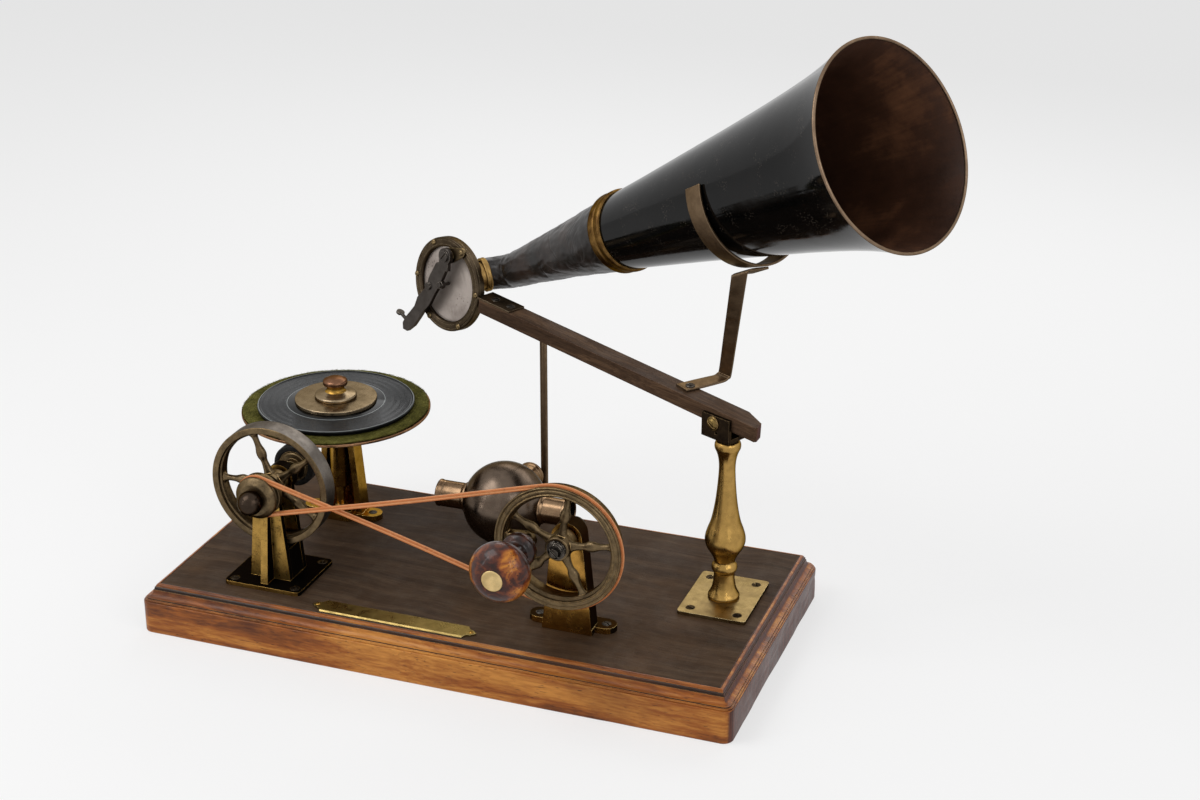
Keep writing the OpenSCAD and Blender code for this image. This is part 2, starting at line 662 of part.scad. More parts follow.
module crank_collar() color(steel) along_y(crank_x, crank_stand_y + channel_d + slide_c, shaft_z) difference() {
    ring(crank_shaft_r + 4, crank_shaft_r + fit_c, 7);
    translate([0, 0, 3.5]) rotate([90, 0, 0]) cylinder(h = 3 * crank_shaft_r, r = 1.2);
}

// Slotted screw with three washers of falling size, in front of the hub
module hub_screw() color(dark_iron) along_y(crank_x, crank_front_y, shaft_z) {
    for (i = [0:2]) translate([0, 0, -1.2 * (i + 1)]) ring(hub_screw_r + 2.4 - 0.8 * i, 2 + fit_c, 1.2 - fit_c);
    difference() {
        rotate_extrude() polygon([
            [0, 9], [2, 9], [2, -3.6], [hub_screw_r, -3.6], [hub_screw_r, -5], [3.4, -6.6], [0, -7]]);
        rotate(40) translate([0, 0, -7]) cube([12, 1.2, 3.2], center = true);
    }
}

handle_x = crank_x - crank_throw;
knob_front_y = knob_y - knob_flat;
module handle_pin() color(steel) along_y(handle_x, 0, shaft_z) {
    translate([0, 0, knob_front_y + 3.4])
        cylinder(h = crank_front_y + 2.4 + lug_t + 4.4 - knob_front_y - 3.4, r = pin_r);
    translate([0, 0, knob_front_y + 2]) cylinder(h = 1.8, r = pin_r + 2);
    translate([0, 0, crank_front_y + 2.4 + lug_t + 0.05]) cylinder(h = 3.6, r = 5, $fn = 6);
}

// Turned knob: collar, waist and a flattened ball, drawn against Y
collar_y = crank_front_y - lug_boss - slide_c;
knob_waist_r = 8.2;
function ball_outline(r, b, n) = [for (i = [0:n]) let (a = 25 + 121 * i / n) [r * sin(a), b * cos(a)]];
module handle_knob() color("#7a3f1c") along_y(handle_x, knob_y, shaft_z) difference() {
    rotate_extrude() polygon(concat(
        [[0, collar_y - knob_y], [collar_r - 1.2, collar_y - knob_y], [collar_r, collar_y - knob_y - 1.6],
         [collar_r, collar_y - knob_y - collar_t + 2], [collar_r - 1.6, collar_y - knob_y - collar_t],
         [knob_waist_r + 0.6, collar_y - knob_y - collar_t - 1.6],
         [knob_waist_r, collar_y - knob_y - collar_t - 6]],
        ball_outline(knob_r, knob_flat + 2.3, 16),
        [[cap_r + 1.4, -knob_flat], [0, -knob_flat]]));
    translate([0, 0, -knob_flat - cut]) cylinder(h = 2 * knob_flat + 60, r = pin_r + run_c);
    translate([0, 0, -knob_flat - cut]) cylinder(h = cut + cap_t + 2.6, r = pin_r + 2.3);
    translate([0, 0, -knob_flat - cut]) cylinder(h = cut + cap_t, r = cap_r + fit_c);
}

module knob_cap() color(brass) along_y(handle_x, knob_front_y - 0.4, shaft_z)
    rotate_extrude() polygon([[0, 0], [cap_r - 0.8, 0], [cap_r, 0.5], [cap_r, cap_t + 0.35], [0, cap_t + 0.35]]);

// Flywheel and what turns with it
module flywheel() color(old_brass) along_y(flywheel_x, fly_front_y, shaft_z) difference() {
    union() {
        ring(wheel_r, wheel_r - rim_t + 1.6, flywheel_w);
        translate([0, 0, 1.5]) ring(wheel_r - 1, wheel_r - rim_t, flywheel_w - 3);
        wheel_spokes(-110, flywheel_w / 2 - 2.5, 5);
        cylinder(h = flywheel_w, r = hub_r);
    }
    translate([0, 0, -cut]) cylinder(h = flywheel_w + 2 * cut, r = fly_shaft_r + fit_c);
}

module flywheel_shaft() color(steel) along_y(flywheel_x, belt_y - 13, shaft_z)
    cylinder(h = friction_back_y + 1.5 - belt_y + 13, r = fly_shaft_r);

module small_pulley() color(old_brass) along_y(flywheel_x, belt_y, shaft_z) difference() {
    translate([0, 0, pulley_front_y - belt_y]) rotate_extrude() polygon([
        [0, 0], [pulley_r - 4.5, 0], [pulley_r - 0.8, 3.2], [pulley_r, 4.4],
        [pulley_r, pulley_back_y - pulley_front_y - 0.8], [pulley_r - 0.8, pulley_back_y - pulley_front_y],
        [0, pulley_back_y - pulley_front_y]]);
    rotate_extrude() translate([pulley_belt_r, 0]) {
        circle(groove_r);
        translate([0, -groove_r]) square([2 * groove_r, 2 * groove_r]);
    }
    translate([0, 0, -20]) cylinder(h = 40, r = fly_shaft_r + fit_c);
}

module ball_nut() color(bronze) difference() {
    along_y(flywheel_x, belt_y - 13, shaft_z) sphere(nut_ball_r);
    along_y(flywheel_x, pulley_front_y, shaft_z) cylinder(h = 20, r = 20);
    along_y(flywheel_x, belt_y - 13 - 0.1, shaft_z) cylinder(h = 20, r = fly_shaft_r + fit_c);
}

module friction_hub() color(bronze) along_y(flywheel_x, friction_back_y - friction_w, shaft_z) difference() {
    union() {
        cylinder(h = friction_w, r = friction_r - tyre_t);
        translate([0, 0, -5]) cylinder(h = 6, r = 6.5);
    }
    translate([0, 0, -6]) cylinder(h = friction_w + 8, r = fly_shaft_r + fit_c);
}

module friction_tyre() color("#1d1b1a") along_y(flywheel_x, friction_back_y - friction_w, shaft_z)
    rotate_extrude() polygon([
        [friction_r - tyre_t + fit_c, 0], [friction_r - 1, 0], [friction_r, 1], [friction_r, friction_w - 1],
        [friction_r - 1, friction_w], [friction_r - tyre_t + fit_c, friction_w]]);

// Turntable
module platter_hub() color(brass) at_plan(flywheel_x, spindle_y, platter_z) difference() {
    union() {
        translate([0, 0, -sleeve_l]) cylinder(h = sleeve_l, r = sleeve_r);
        translate([0, 0, -1.4]) cylinder(h = 1.4, r = sleeve_r + 5);
        cylinder(h = knob_top_z - 4 - platter_z, r = pin_top_r);
    }
    translate([0, 0, -sleeve_l - cut]) cylinder(h = sleeve_l - 4 + cut, r = post_r + run_c);
}

module platter() color("#8d6e4e") at_plan(flywheel_x, spindle_y, platter_z)
    ring(platter_r, pin_top_r + fit_c, platter_t);

module felt_mat() color("#6d6a2c") at_plan(flywheel_x, spindle_y, felt_z)
    ring(platter_r - 0.5, pin_top_r + fit_c, felt_t);

groove_dip = 0.35;
module record_disc() color("#23262b") at_plan(flywheel_x, spindle_y, record_z) rotate_extrude() polygon([
    [pin_top_r + fit_c, 0], [record_r - 0.8, 0], [record_r, 0.9], [record_r, record_t - 0.9],
    [record_r - 0.8, record_t], [record_r - 2.2, record_t], [record_r - 2.8, record_t - groove_dip],
    [land_r + 0.6, record_t - groove_dip], [land_r, record_t], [pin_top_r + fit_c, record_t]]);

module clamp_disc() color("#8f8468") at_plan(flywheel_x, spindle_y, clamp_z) rotate_extrude() polygon([
    [pin_top_r + run_c, 0], [clamp_r - 0.4, 0], [clamp_r, 0.5], [clamp_r, clamp_t - 0.5],
    [clamp_r - 0.4, clamp_t], [pin_top_r + run_c, clamp_t]]);

module clamp_knob() color("#8f8468") at_plan(flywheel_x, spindle_y, clamp_z + clamp_t) difference() {
    rotate_extrude() polygon([
        [0, 0], [17, 0], [17, 2], [16.4, 2.8], [8.4, 4.2], [6.8, 5.2], [6.4, 7], [6.6, 9], [7.6, 10.2],
        [knob_top_r - 0.8, 11.2], [knob_top_r, 12.8], [knob_top_r, 14.2], [knob_top_r - 0.9, 16], [7, 17.2],
        [3.5, 17.5], [0, 17.5]]);
    translate([0, 0, -cut]) cylinder(h = 17.5 - 3 + cut, r = pin_top_r + run_c);
}

// Fork that swivels on the pillar
module swivel_fork() color(dark_iron) in_arm() difference() {
    union() {
        translate([fork_s0, -fork_gap / 2 - fork_wall, fork_z0])
            cube([fork_s1 - fork_s0, fork_gap + 2 * fork_wall, fork_top_z - fork_z0]);
        translate([0, 0, column_top_z + slide_c]) cylinder(h = fork_z0 - column_top_z, r = 8.2);
        translate([0, 0, column_top_z - socket_l + 1]) cylinder(h = socket_l, r = socket_r);
    }
    translate([fork_s0 - cut, -fork_gap / 2, fork_z0 + 3])
        cube([fork_s1 - fork_s0 + 2 * cut, fork_gap, fork_top_z]);
    translate([pivot_s, 0, pivot_z]) rotate([90, 0, 0])
        cylinder(h = fork_gap + 4 * fork_wall, r = pivot_r + fit_c, center = true);
    translate([fork_hole_s, 0, fork_z0 + 5.4]) rotate([-90, 0, 0]) cylinder(h = 40, r = 1.1);
}
fork_hole_s = 1.5;

fork_face = fork_gap / 2 + fork_wall;
// Slotted screw through the fork and the arm, with a washer in front and a nut behind
module pivot_bolt() color(steel) in_arm() translate([pivot_s, 0, pivot_z]) rotate([-90, 0, 0]) {
    difference() {
        union() {
            translate([0, 0, -fork_face - 4.2]) cylinder(h = 2 * fork_face + 4.3, r = pivot_r);
            translate([0, 0, fork_face]) cylinder(h = 1, r = 5.4);
            translate([0, 0, fork_face + 0.9])
                rotate_extrude() polygon([[0, 0], [4.4, 0], [4.4, 1.2], [3.2, 2.4], [0, 2.9]]);
        }
        rotate(-35) translate([0, 0, fork_face + 3.6]) cube([12, 1.1, 2.6], center = true);
    }
    translate([0, 0, -fork_face - 3.2]) difference() {
        cylinder(h = 3.2, r = 4.6, $fn = 6);
        translate([0, 0, -cut]) cylinder(h = 3.2 + 2 * cut, r = pivot_r + fit_c);
    }
}

// Wooden arm with its nose cut back at the rear
module arm_bar() color("#5b4436") difference() {
    in_bar() translate([0, 0, -arm_h / 2]) linear_extrude(arm_h) polygon([
        [arm_reach, -arm_w / 2], [arm_reach, arm_w / 2], [-tail_s + 1, arm_w / 2], [-tail_s, arm_w / 2 - 2],
        [-tail_s + 3, -1], [-12, -arm_w / 2]]);
    in_arm() translate([pivot_s, 0, pivot_z]) rotate([90, 0, 0])
        cylinder(h = 3 * arm_w, r = pivot_r + run_c, center = true);
    in_bar() for (s = plate_screw_s) translate([s, 0, arm_h / 2]) pilot(7);
    in_bar() for (s = plate_screw_s) translate([s, 0, arm_h / 2 + plate_t]) countersink(plate_t);
    in_bar() translate([strut_screw[0], strut_screw[1], arm_h / 2]) pilot(8);
}

module arm_plate() color(old_brass) in_bar() difference() {
    translate([plate_s0, -arm_w / 2, arm_h / 2]) cube([plate_s1 - plate_s0, arm_w, plate_t]);
    for (s = plate_screw_s) translate([s, 0, arm_h / 2 + plate_t]) countersink(plate_t);
}

module small_screw(len, head_r, turn) difference() {
    rotate_extrude() polygon([
        [0, 1.7], [head_r * 0.6, 1.4], [head_r, 0.5], [head_r, 0], [screw_shank_r - 0.1, 0],
        [screw_shank_r - 0.1, -len + 1.6], [0, -len]]);
    rotate(turn) translate([0, 0, 1.7]) cube([3 * head_r, 0.9, 1.8], center = true);
}

strut_screw = [43.6, -4];
strap_rise = 0.1;
module arm_screws() color(steel) in_bar() {
    for (s = plate_screw_s) translate([s, 0, arm_h / 2 + plate_t]) difference() {
        rotate_extrude() polygon([[0, 0], [screw_head_r - 0.1, 0], [screw_shank_r - 0.1, -screw_head_h],
            [screw_shank_r - 0.1, -6], [0, -8]]);
        rotate(s) cube([3 * screw_head_r, 1, 1.6], center = true);
    }
    translate([strut_screw[0], strut_screw[1], arm_h / 2 + strap_rise + strap_t + 3 * fit_c])
        small_screw(9, 3.6, 30);
}

// Sound box
case_z0 = -ring_t - case_t;
module box_screw_places() for (i = [0:box_screws - 1]) rotate(i * 360 / box_screws)
    translate([box_screw_pcd_r, 0, 0]) children();

module sound_box_ring() color(bronze) in_box() difference() {
    rotate_extrude() polygon([
        [box_open_r, -ring_t], [box_r, -ring_t], [box_r, -0.7], [box_r - 0.7, 0],
        [box_open_r + 1.4, 0], [box_open_r, -1]]);
    box_screw_places() translate([0, 0, -ring_t - cut]) cylinder(h = ring_t + 2 * cut, r = box_screw_r + fit_c);
}

module sound_box_case() color(bronze) in_box() difference() {
    union() {
        translate([0, 0, case_z0]) cylinder(h = case_t - fit_c, r = box_r);
        translate([outlet[0], outlet[1], case_z0 - 3]) cylinder(h = 3.1, r = 18);
    }
    translate([0, 0, -ring_t - 2.2]) cylinder(h = 3, r = seat_r + fit_c);
    translate([0, 0, case_z0 + 1.4]) cylinder(h = case_t, r = box_open_r);
    translate([outlet[0], outlet[1], case_z0 - 5]) cylinder(h = 10, r = elbow_r - elbow_wall);
    box_screw_places() translate([0, 0, case_z0 - cut]) cylinder(h = case_t + 2 * cut, r = box_screw_r + fit_c);
}

module diaphragm() color("#a39a90") in_box() translate([0, 0, -ring_t - gasket_t - diaphragm_t - 0.05])
    cylinder(h = diaphragm_t, r = seat_r - 0.2);

module gaskets() color("#2a2624") in_box() {
    translate([0, 0, -ring_t - gasket_t]) ring(seat_r - 0.1, box_open_r, gasket_t - fit_c);
    translate([0, 0, -ring_t - 2 * gasket_t - diaphragm_t - 0.1]) ring(seat_r - 0.1, box_open_r, gasket_t);
}

// The screw at 60 degrees also holds the bracket, so it stands higher
module sound_box_screws() color(old_brass) in_box() for (i = [0:box_screws - 1])
    rotate(i * 360 / box_screws) translate([box_screw_pcd_r, 0, i == 1 ? bracket_t + fit_c : 0.02]) {
        difference() {
            rotate_extrude() polygon([
                [0, 1.6], [1.6, 1.3], [2.5, 0.4], [2.5, 0], [box_screw_r, 0], [box_screw_r, -0.1], [0, -0.1]]);
            rotate(37 * i) translate([0, 0, 1.6]) cube([8, 0.7, 1.4], center = true);
        }
        translate([0, 0, (i == 1 ? -bracket_t : 0) - ring_t - case_t + 0.5])
            cylinder(h = (i == 1 ? bracket_t : 0) + ring_t + case_t - 0.5, r = box_screw_r);
    }

bracket_foot = box_screw_pcd_r * [cos(60), sin(60)];
module stylus_bracket() color(bronze) in_box() difference() {
    union() {
        translate([0, 0, fit_c]) linear_extrude(bracket_t) {
            hull() {
                translate(bracket_foot) circle(4, $fn = 32);
                translate(bracket_pivot) circle(6.6, $fn = 32);
            }
        }
        translate([bracket_pivot[0], bracket_pivot[1], bracket_t])
            cylinder(h = bar_z - bracket_t - slide_c, r = 5.4);
    }
    translate([bracket_foot[0], bracket_foot[1], -cut]) cylinder(h = 10, r = box_screw_r + fit_c);
    translate([bracket_pivot[0], bracket_pivot[1], -cut]) cylinder(h = 20, r = stylus_pin_r + rock_c);
}

module stylus_bar() color(steel) in_box() difference() {
    union() {
        translate([0, 0, bar_z]) linear_extrude(bar_t) {
            polygon(stylus_outline);
            translate(bracket_pivot) circle(7);
            translate([bracket_pivot[0] - 6.2, 14]) square([11, 8]);
            translate([0.6, 0.6]) circle(3.4);
        }
        translate([0.6, 0.6, link_z0]) cylinder(h = bar_z - link_z0 + cut, r = 1.3);
        translate([0.6, 0.6, bar_z + bar_t - 0.1]) cylinder(h = 1.9, r = 2.6);
        translate([-13.6, -4, bar_z + bar_t - 0.1]) cylinder(h = 1.5, r = 3.2);
        translate([bracket_pivot[0], bracket_pivot[1], bar_z + bar_t - 0.1]) cylinder(h = 1.7, r = 4.6);
        translate([bracket_pivot[0], bracket_pivot[1], 0.4]) cylinder(h = bar_z + 1, r = stylus_pin_r);
    }
    translate([bracket_pivot[0], bracket_pivot[1], bar_z + bar_t + 1.7]) rotate(50)
        cube([12, 1.1, 2], center = true);
    translate([-13.6, -4, bar_z + bar_t + 1.5]) rotate(20) cube([12, 0.9, 1.4], center = true);
    translate([needle_at[0], needle_at[1] - 8, bar_z + bar_t / 2]) rotate([-90, 0, 0])
        cylinder(h = 8 + needle_deep, r = needle_r);
    translate([thumb_at[0], thumb_at[1], bar_z + bar_t / 2]) rotate([0, 90, thumb_dir])
        cylinder(h = 12, r = thumb_r + run_c);
}
link_z0 = -ring_t - gasket_t + 0.35;

module needle_screw() color(steel) in_box() translate([thumb_at[0], thumb_at[1], bar_z + bar_t / 2])
    rotate([0, 90, thumb_dir]) {
        translate([0, 0, 0.9]) cylinder(h = 8.9, r = thumb_r);
        translate([0, 0, 9.6]) intersection() {
            translate([0, 0, 2.2]) rotate([90, 0, 0]) cylinder(h = 1.8, r = 3.6, center = true);
            translate([0, 0, -0.2]) cylinder(h = 8, r = 3.8);
        }
    }

// Horn
d_in = [0, -cos(box_lean), -sin(box_lean)];
bell_dir = [-cos(horn_el), 0, sin(horn_el)];
d_out = [-cos(horn_el + neck_tilt), 0, sin(horn_el + neck_tilt)];
neck_corner = corner + neck_d1 * (bell_dir - d_out);
outlet = [-(neck_corner - corner)[0], (neck_corner - corner) * [0, -sin(box_lean), cos(box_lean)]];
outlet_k = (neck_corner - [box_s, box_t, box_z]) * d_in;
bend_angle = acos(d_in * d_out);
bend_back = elbow_bend * tan(bend_angle / 2);
bend_side = unit(d_out - (d_in * d_out) * d_in);
bend_start = neck_corner - bend_back * d_in;
bend_centre = bend_start + elbow_bend * bend_side;
bend_axis = cross(-bend_side, d_in);
elbow_from = outlet_k - ring_t - case_t - 3.05;

module bend_piece(r) multmatrix([
    [-bend_side[0], d_in[0], bend_axis[0], bend_centre[0]],
    [-bend_side[1], d_in[1], bend_axis[1], bend_centre[1]],
    [-bend_side[2], d_in[2], bend_axis[2], bend_centre[2]],
    [0, 0, 0, 1]])
    rotate_extrude(angle = bend_angle) translate([elbow_bend, 0]) circle(r);

// The straight ends are a little thinner than the bend, so that each passes through its end face
module elbow_core(r, over) {
    in_arm() bend_piece(r + elbow_step);
    in_box() translate([outlet[0], outlet[1], -outlet_k + bend_back - elbow_lap])
        cylinder(h = elbow_from - bend_back + elbow_lap + over, r = r);
    in_neck() translate([0, 0, bend_back - elbow_lap])
        cylinder(h = neck_d0 - 1 - bend_back + elbow_lap + over, r = r);
}
elbow_step = 0.4;
elbow_lap = 0.4;

module horn_elbow() color(old_brass) difference() {
    union() {
        elbow_core(elbow_r, 0);
        in_neck() translate([0, 0, elbow_ring_d]) cylinder(h = elbow_ring_w - 0.1, r = neck_r0 + 0.9);
        in_box() translate([outlet[0], outlet[1], -outlet_k + elbow_from - 2]) cylinder(h = 2, r = elbow_r + 3);
    }
    elbow_core(elbow_r - elbow_wall, 3);
}

module shell_of_turn(outer, inner) rotate_extrude() polygon(concat(outer,
    [for (i = [len(inner) - 1:-1:0]) inner[i]]));

neck_steps = 14;
module horn_neck() color("#3a312b") in_neck() {
    ds = [for (i = [0:neck_steps]) neck_d0 + (neck_d1 - neck_d0) * i / neck_steps];
    shell_of_turn([for (d = ds) [neck_at(d), d]], [for (d = ds) [neck_at(d) - sheet_t * 1.4, d]]);
}

bell_steps = 16;
module horn_bell() color("#15130f") in_horn() {
    ds = [for (i = [0:bell_steps]) bell_d0 + (horn_len - bell_d0) * i / bell_steps];
    shell_of_turn([for (d = ds) [bell_r(d), d]], [for (d = ds) [bell_r(d) - sheet_t, d]]);
}

// Double brass band where the neck meets the bell: rise over the throat against place along the band
ring_outline = [
    [0.05, 0], [1.2, 0.4], [1.8, 3], [1.8, 7], [1.3, 7.6], [1.3, 8.2], [2.3, 8.8], [2.4, 12.8]];
module horn_ring() color(brass) in_horn() {
    end_d = horn_ring_d + horn_ring_w;
    end_r = bell_r(end_d) + 0.12;
    rotate_extrude() polygon(concat(
        [for (p = ring_outline) [throat_r + p[0], horn_ring_d + p[1]]],
        [[end_r + 0.9, end_d], [end_r, end_d], [throat_r + 0.65, bell_d0 + 6.5],
         [throat_r + 0.62, neck_d1 + 0.2]]));
}

// Wire rolled into the edge of the mouth
module horn_rim() color(brass) in_horn() translate([0, 0, horn_len + 0.02 + rim_r])
    rotate_extrude() translate([mouth_r - 0.5, 0]) circle(rim_r);

cradle_inner = bell_r(cradle_d) + cradle_slack;
cradle_grow = (bell_r(cradle_d + 1) - bell_r(cradle_d)) * cradle_w / 2;
module horn_cradle() color(bronze) in_horn() difference() {
    translate([-cradle_drop, 0, cradle_d]) rotate(180 - cradle_arc) rotate_extrude(angle = 2 * cradle_arc) polygon([
        [cradle_inner - cradle_grow, -cradle_w / 2], [cradle_inner - cradle_grow + strap_t, -cradle_w / 2],
        [cradle_inner + cradle_grow + strap_t, cradle_w / 2], [cradle_inner + cradle_grow, cradle_w / 2]]);
    translate([-cradle_drop, 0, cradle_d]) rotate([0, -90, 0]) cylinder(h = 80, r = 1.6);
}

// Strap bent to a Z: a foot on the arm, a leg that leans towards the mouth and a foot under the cradle.
// Each row is a place on its centre line, s, t and the rise over the arm, and its turn between the
// three directions in which the strap lies across.
strap_across = [[0.99, -0.165, 0.06], [0.9, 0.04, 0.055], [0.98, 0.27, -0.476]];
strap_path = [
    [46, 2.6, 0, 0], [44.2, -6, 0, 0], [42.6, -14, 0, 0], [40.4, -25, 0, 0.4], [38.8, -31.6, 0.3, 0.8],
    [38, -35, 1.8, 1], [37.2, -36.4, 4.8, 1], [26.6, -28.6, 35, 1.33], [15.7, -20.6, 66, 1.66],
    [4.9, -12.6, 96.4, 2], [4.2, -12.4, 98.8, 2], [2.8, -13.4, 100.35, 2], [1.4, -16, 100.75, 2],
    [0.2, -20, 100.55, 2], [-1.8, -28, 99.75, 2]];
function strap_side(k) = let (i = min(floor(k), 1), f = k - i)
    strap_w * (strap_across[i] * (1 - f) + strap_across[i + 1] * f);
function strap_z(p) = arm_top(max(p[0], 30)) + strap_t / 2 + strap_rise + p[2];

module open_strap(path, wides, thick) {
    n = len(path);
    points = [for (i = [0:n - 1]) let (
        t = unit(path[min(i + 1, n - 1)] - path[max(i - 1, 0)]), m = unit(cross(wides[i], t)),
        w = wides[i] / 2, h = m * thick / 2)
        each [path[i] - w - h, path[i] + w - h, path[i] + w + h, path[i] - w + h]];
    sides = [for (i = [0:n - 2], j = [0:3]) let (a = 4 * i + j, b = 4 * i + (j + 1) % 4)
        each [[a, b, b + 4], [a, b + 4, a + 4]]];
    ends = [[0, 2, 1], [0, 3, 2], [4 * n - 4, 4 * n - 3, 4 * n - 2], [4 * n - 4, 4 * n - 2, 4 * n - 1]];
    polyhedron(points, concat(sides, ends));
}

module horn_strut() color(bronze) difference() {
    in_arm() open_strap([for (p = strap_path) [p[0], p[1], strap_z(p)]],
        [for (p = strap_path) strap_side(p[3])], strap_t);
    in_bar() translate([strut_screw[0], strut_screw[1], arm_h / 2 - 3]) cylinder(h = 10, r = screw_shank_r + 0.1);
}

plinth();
top_board();
nameplate();
nameplate_pins();
pillar_plate();
pillar_column();
pillar_screws();
flywheel_stand();
flywheel_stand_screws();
flywheel_bushes();
crank_stand();
crank_bush();
turntable_stand();
ear_screws();
spindle_post();
sounding_ball();
ball_tubes();
ball_foot();
rest_rod();
drive_belt();
drive_wheel();
crank_shaft();
crank_collar();
hub_screw();
handle_pin();
handle_knob();
knob_cap();
flywheel();
flywheel_shaft();
small_pulley();
ball_nut();
friction_hub();
friction_tyre();
platter_hub();
platter();
felt_mat();
record_disc();
clamp_disc();
clamp_knob();
swivel_fork();
pivot_bolt();
arm_bar();
arm_plate();
arm_screws();
sound_box_ring();
sound_box_case();
diaphragm();
gaskets();
sound_box_screws();
stylus_bracket();
stylus_bar();
needle_screw();
horn_elbow();
horn_neck();
horn_ring();
horn_bell();
horn_rim();
horn_cradle();
horn_strut();
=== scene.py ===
"""Looks of a horn gramophone driven by hand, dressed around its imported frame.

The axes are the frame's own: X to the right, Y to the back and Z up. Sizes and places repeat those
of the CAD source, in millimetres, and become metres where a mesh or a material takes them. Only the
studio is in metres throughout.
"""

import json
import logging
import math
from dataclasses import dataclass, field, replace
from enum import Enum
from functools import cache
from typing import Callable, Sequence

import bmesh
import bpy
import numpy as np
from mathutils import Matrix
from numpy.typing import NDArray


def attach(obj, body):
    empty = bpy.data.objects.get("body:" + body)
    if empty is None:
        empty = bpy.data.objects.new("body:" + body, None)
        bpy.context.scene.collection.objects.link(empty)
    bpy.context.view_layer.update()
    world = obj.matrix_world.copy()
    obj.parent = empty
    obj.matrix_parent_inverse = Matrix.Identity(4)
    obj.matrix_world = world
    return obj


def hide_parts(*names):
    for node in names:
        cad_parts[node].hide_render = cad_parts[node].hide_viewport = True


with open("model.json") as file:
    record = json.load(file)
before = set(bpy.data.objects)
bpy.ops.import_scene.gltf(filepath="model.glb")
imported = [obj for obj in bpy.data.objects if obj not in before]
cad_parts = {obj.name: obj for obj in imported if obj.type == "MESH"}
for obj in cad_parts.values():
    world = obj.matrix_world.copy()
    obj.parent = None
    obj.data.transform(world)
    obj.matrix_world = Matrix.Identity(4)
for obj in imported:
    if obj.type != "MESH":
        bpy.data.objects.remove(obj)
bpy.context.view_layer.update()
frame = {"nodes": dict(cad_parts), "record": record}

Array = NDArray[np.float64]
Colour = tuple[float, float, float]
Outline = Sequence[Sequence[float]]
Material = bpy.types.Material
Mesh = bpy.types.Mesh
Node = bpy.types.Node
Socket = bpy.types.NodeSocket
Tree = bpy.types.NodeTree
Value = Socket | float | tuple[float, ...] | str
Inputs = dict[str | int, Value]

MM = 0.001
MERGE = 0.002 * MM
TAU = 2 * math.pi
WRAP_MAP = "Wrap"
log = logging.getLogger("gramophone")


# Frames and places


def spin(axis: str, degrees: float) -> Array:
    """Matrix of a right-handed turn about X, Y or Z."""
    c, s = math.cos(math.radians(degrees)), math.sin(math.radians(degrees))
    i, j = {"x": (1, 2), "y": (2, 0), "z": (0, 1)}[axis]
    turn = np.eye(3)
    turn[i, i] = turn[j, j] = c
    turn[i, j], turn[j, i] = -s, s
    return turn


def unit(vectors: Array) -> Array:
    """The same directions with a length of one."""
    return vectors / np.linalg.norm(vectors, axis=-1, keepdims=True)


@dataclass(frozen=True)
class Axes:
    """A right-handed frame inside the object's own: its origin, and its axes as columns."""

    origin: Array
    turn: Array

    def place(self, points: Array) -> Array:
        """Points of this frame in the object's frame."""
        return points @ self.turn.T + self.origin

    def moved(self, x: float = 0, y: float = 0, z: float = 0) -> "Axes":
        """The frame slid along its own axes."""
        return Axes(self.place(np.array([x, y, z], float)), self.turn)

    def turned(self, axis: str, degrees: float) -> "Axes":
        """The frame turned about one of its own axes."""
        return Axes(self.origin, self.turn @ spin(axis, degrees))


def upright_at(x: float, y: float, z: float) -> Axes:
    """Frame of a piece turned about a vertical axis."""
    return Axes(np.array([x, y, z], float), np.eye(3))


def along_y(x: float, y: float, z: float) -> Axes:
    """Frame of a piece turned about a level axis that runs to the back."""
    return upright_at(x, y, z).turned("x", -90)


@dataclass(frozen=True)
class Layout:
    """Sizes and places that more than one sub-assembly needs."""

    board: tuple[float, float] = (480, 241)
    slab_h: float = 26.6
    top_z: float = 38.6
    pillar: tuple[float, float] = (191.5, 18)
    shaft_z: float = 117.2
    flywheel_x: float = -148.5
    crank_x: float = 96.5
    wheel_r: float = 49
    belt_y: float = -87
    wheel_belt_r: float = 48.7
    pulley_belt_r: float = 15.8
    spindle_y: float = 48
    arm_azimuth: float = 154.5
    arm_rise: float = 3.44
    arm_mid_z: float = 192.2
    arm_h: float = 11.5
    box_s: float = 309.8
    box_t: float = 8
    box_z: float = 216.2
    box_lean: float = 6.5
    horn_t: float = -24
    horn_rise: float = 25.9
    neck_end: float = 194
    neck_tilt: float = 1.1

    @property
    def arm(self) -> Axes:
        """Frame of the arm: x runs to the sound box, y to the front and z up."""
        x, y = self.pillar
        return upright_at(x, y, 0).turned("z", self.arm_azimuth)

    @property
    def box(self) -> Axes:
        """Frame of the sound box: z leaves its front and y climbs in its plane."""
        leaning = self.arm.moved(self.box_s, self.box_t, self.box_z).turned("x", self.box_lean)
        return leaning.turned("z", 180).turned("x", 90)

    @property
    def corner(self) -> Array:
        """Corner of the elbow in the arm's frame, where the horn's axis starts."""
        reach = (self.box_t - self.horn_t) / math.cos(math.radians(self.box_lean))
        fall = reach * math.sin(math.radians(self.box_lean))
        return np.array([self.box_s, self.horn_t, self.box_z - fall])

    @property
    def horn(self) -> Axes:
        """Frame of the horn: z runs along its axis to the mouth."""
        return self.arm.moved(*self.corner).turned("y", self.horn_rise - 90)

    @property
    def neck(self) -> Axes:
        """Frame of the neck, which meets the horn's axis at the neck's end."""
        joint = self.horn.moved(z=self.neck_end)
        return Axes(joint.origin, self.horn.turned("y", self.neck_tilt).turn).moved(z=-self.neck_end)


LAYOUT = Layout()


# Surfaces worked out on grids


@dataclass
class Patch:
    """Points with the quads between them, flat ends of many corners, and the unrolled places."""

    points: Array
    quads: NDArray[np.int64]
    wrap: Array
    ends: list[NDArray[np.int64]] = field(default_factory=list)
    finishes: NDArray[np.int64] | int = 0


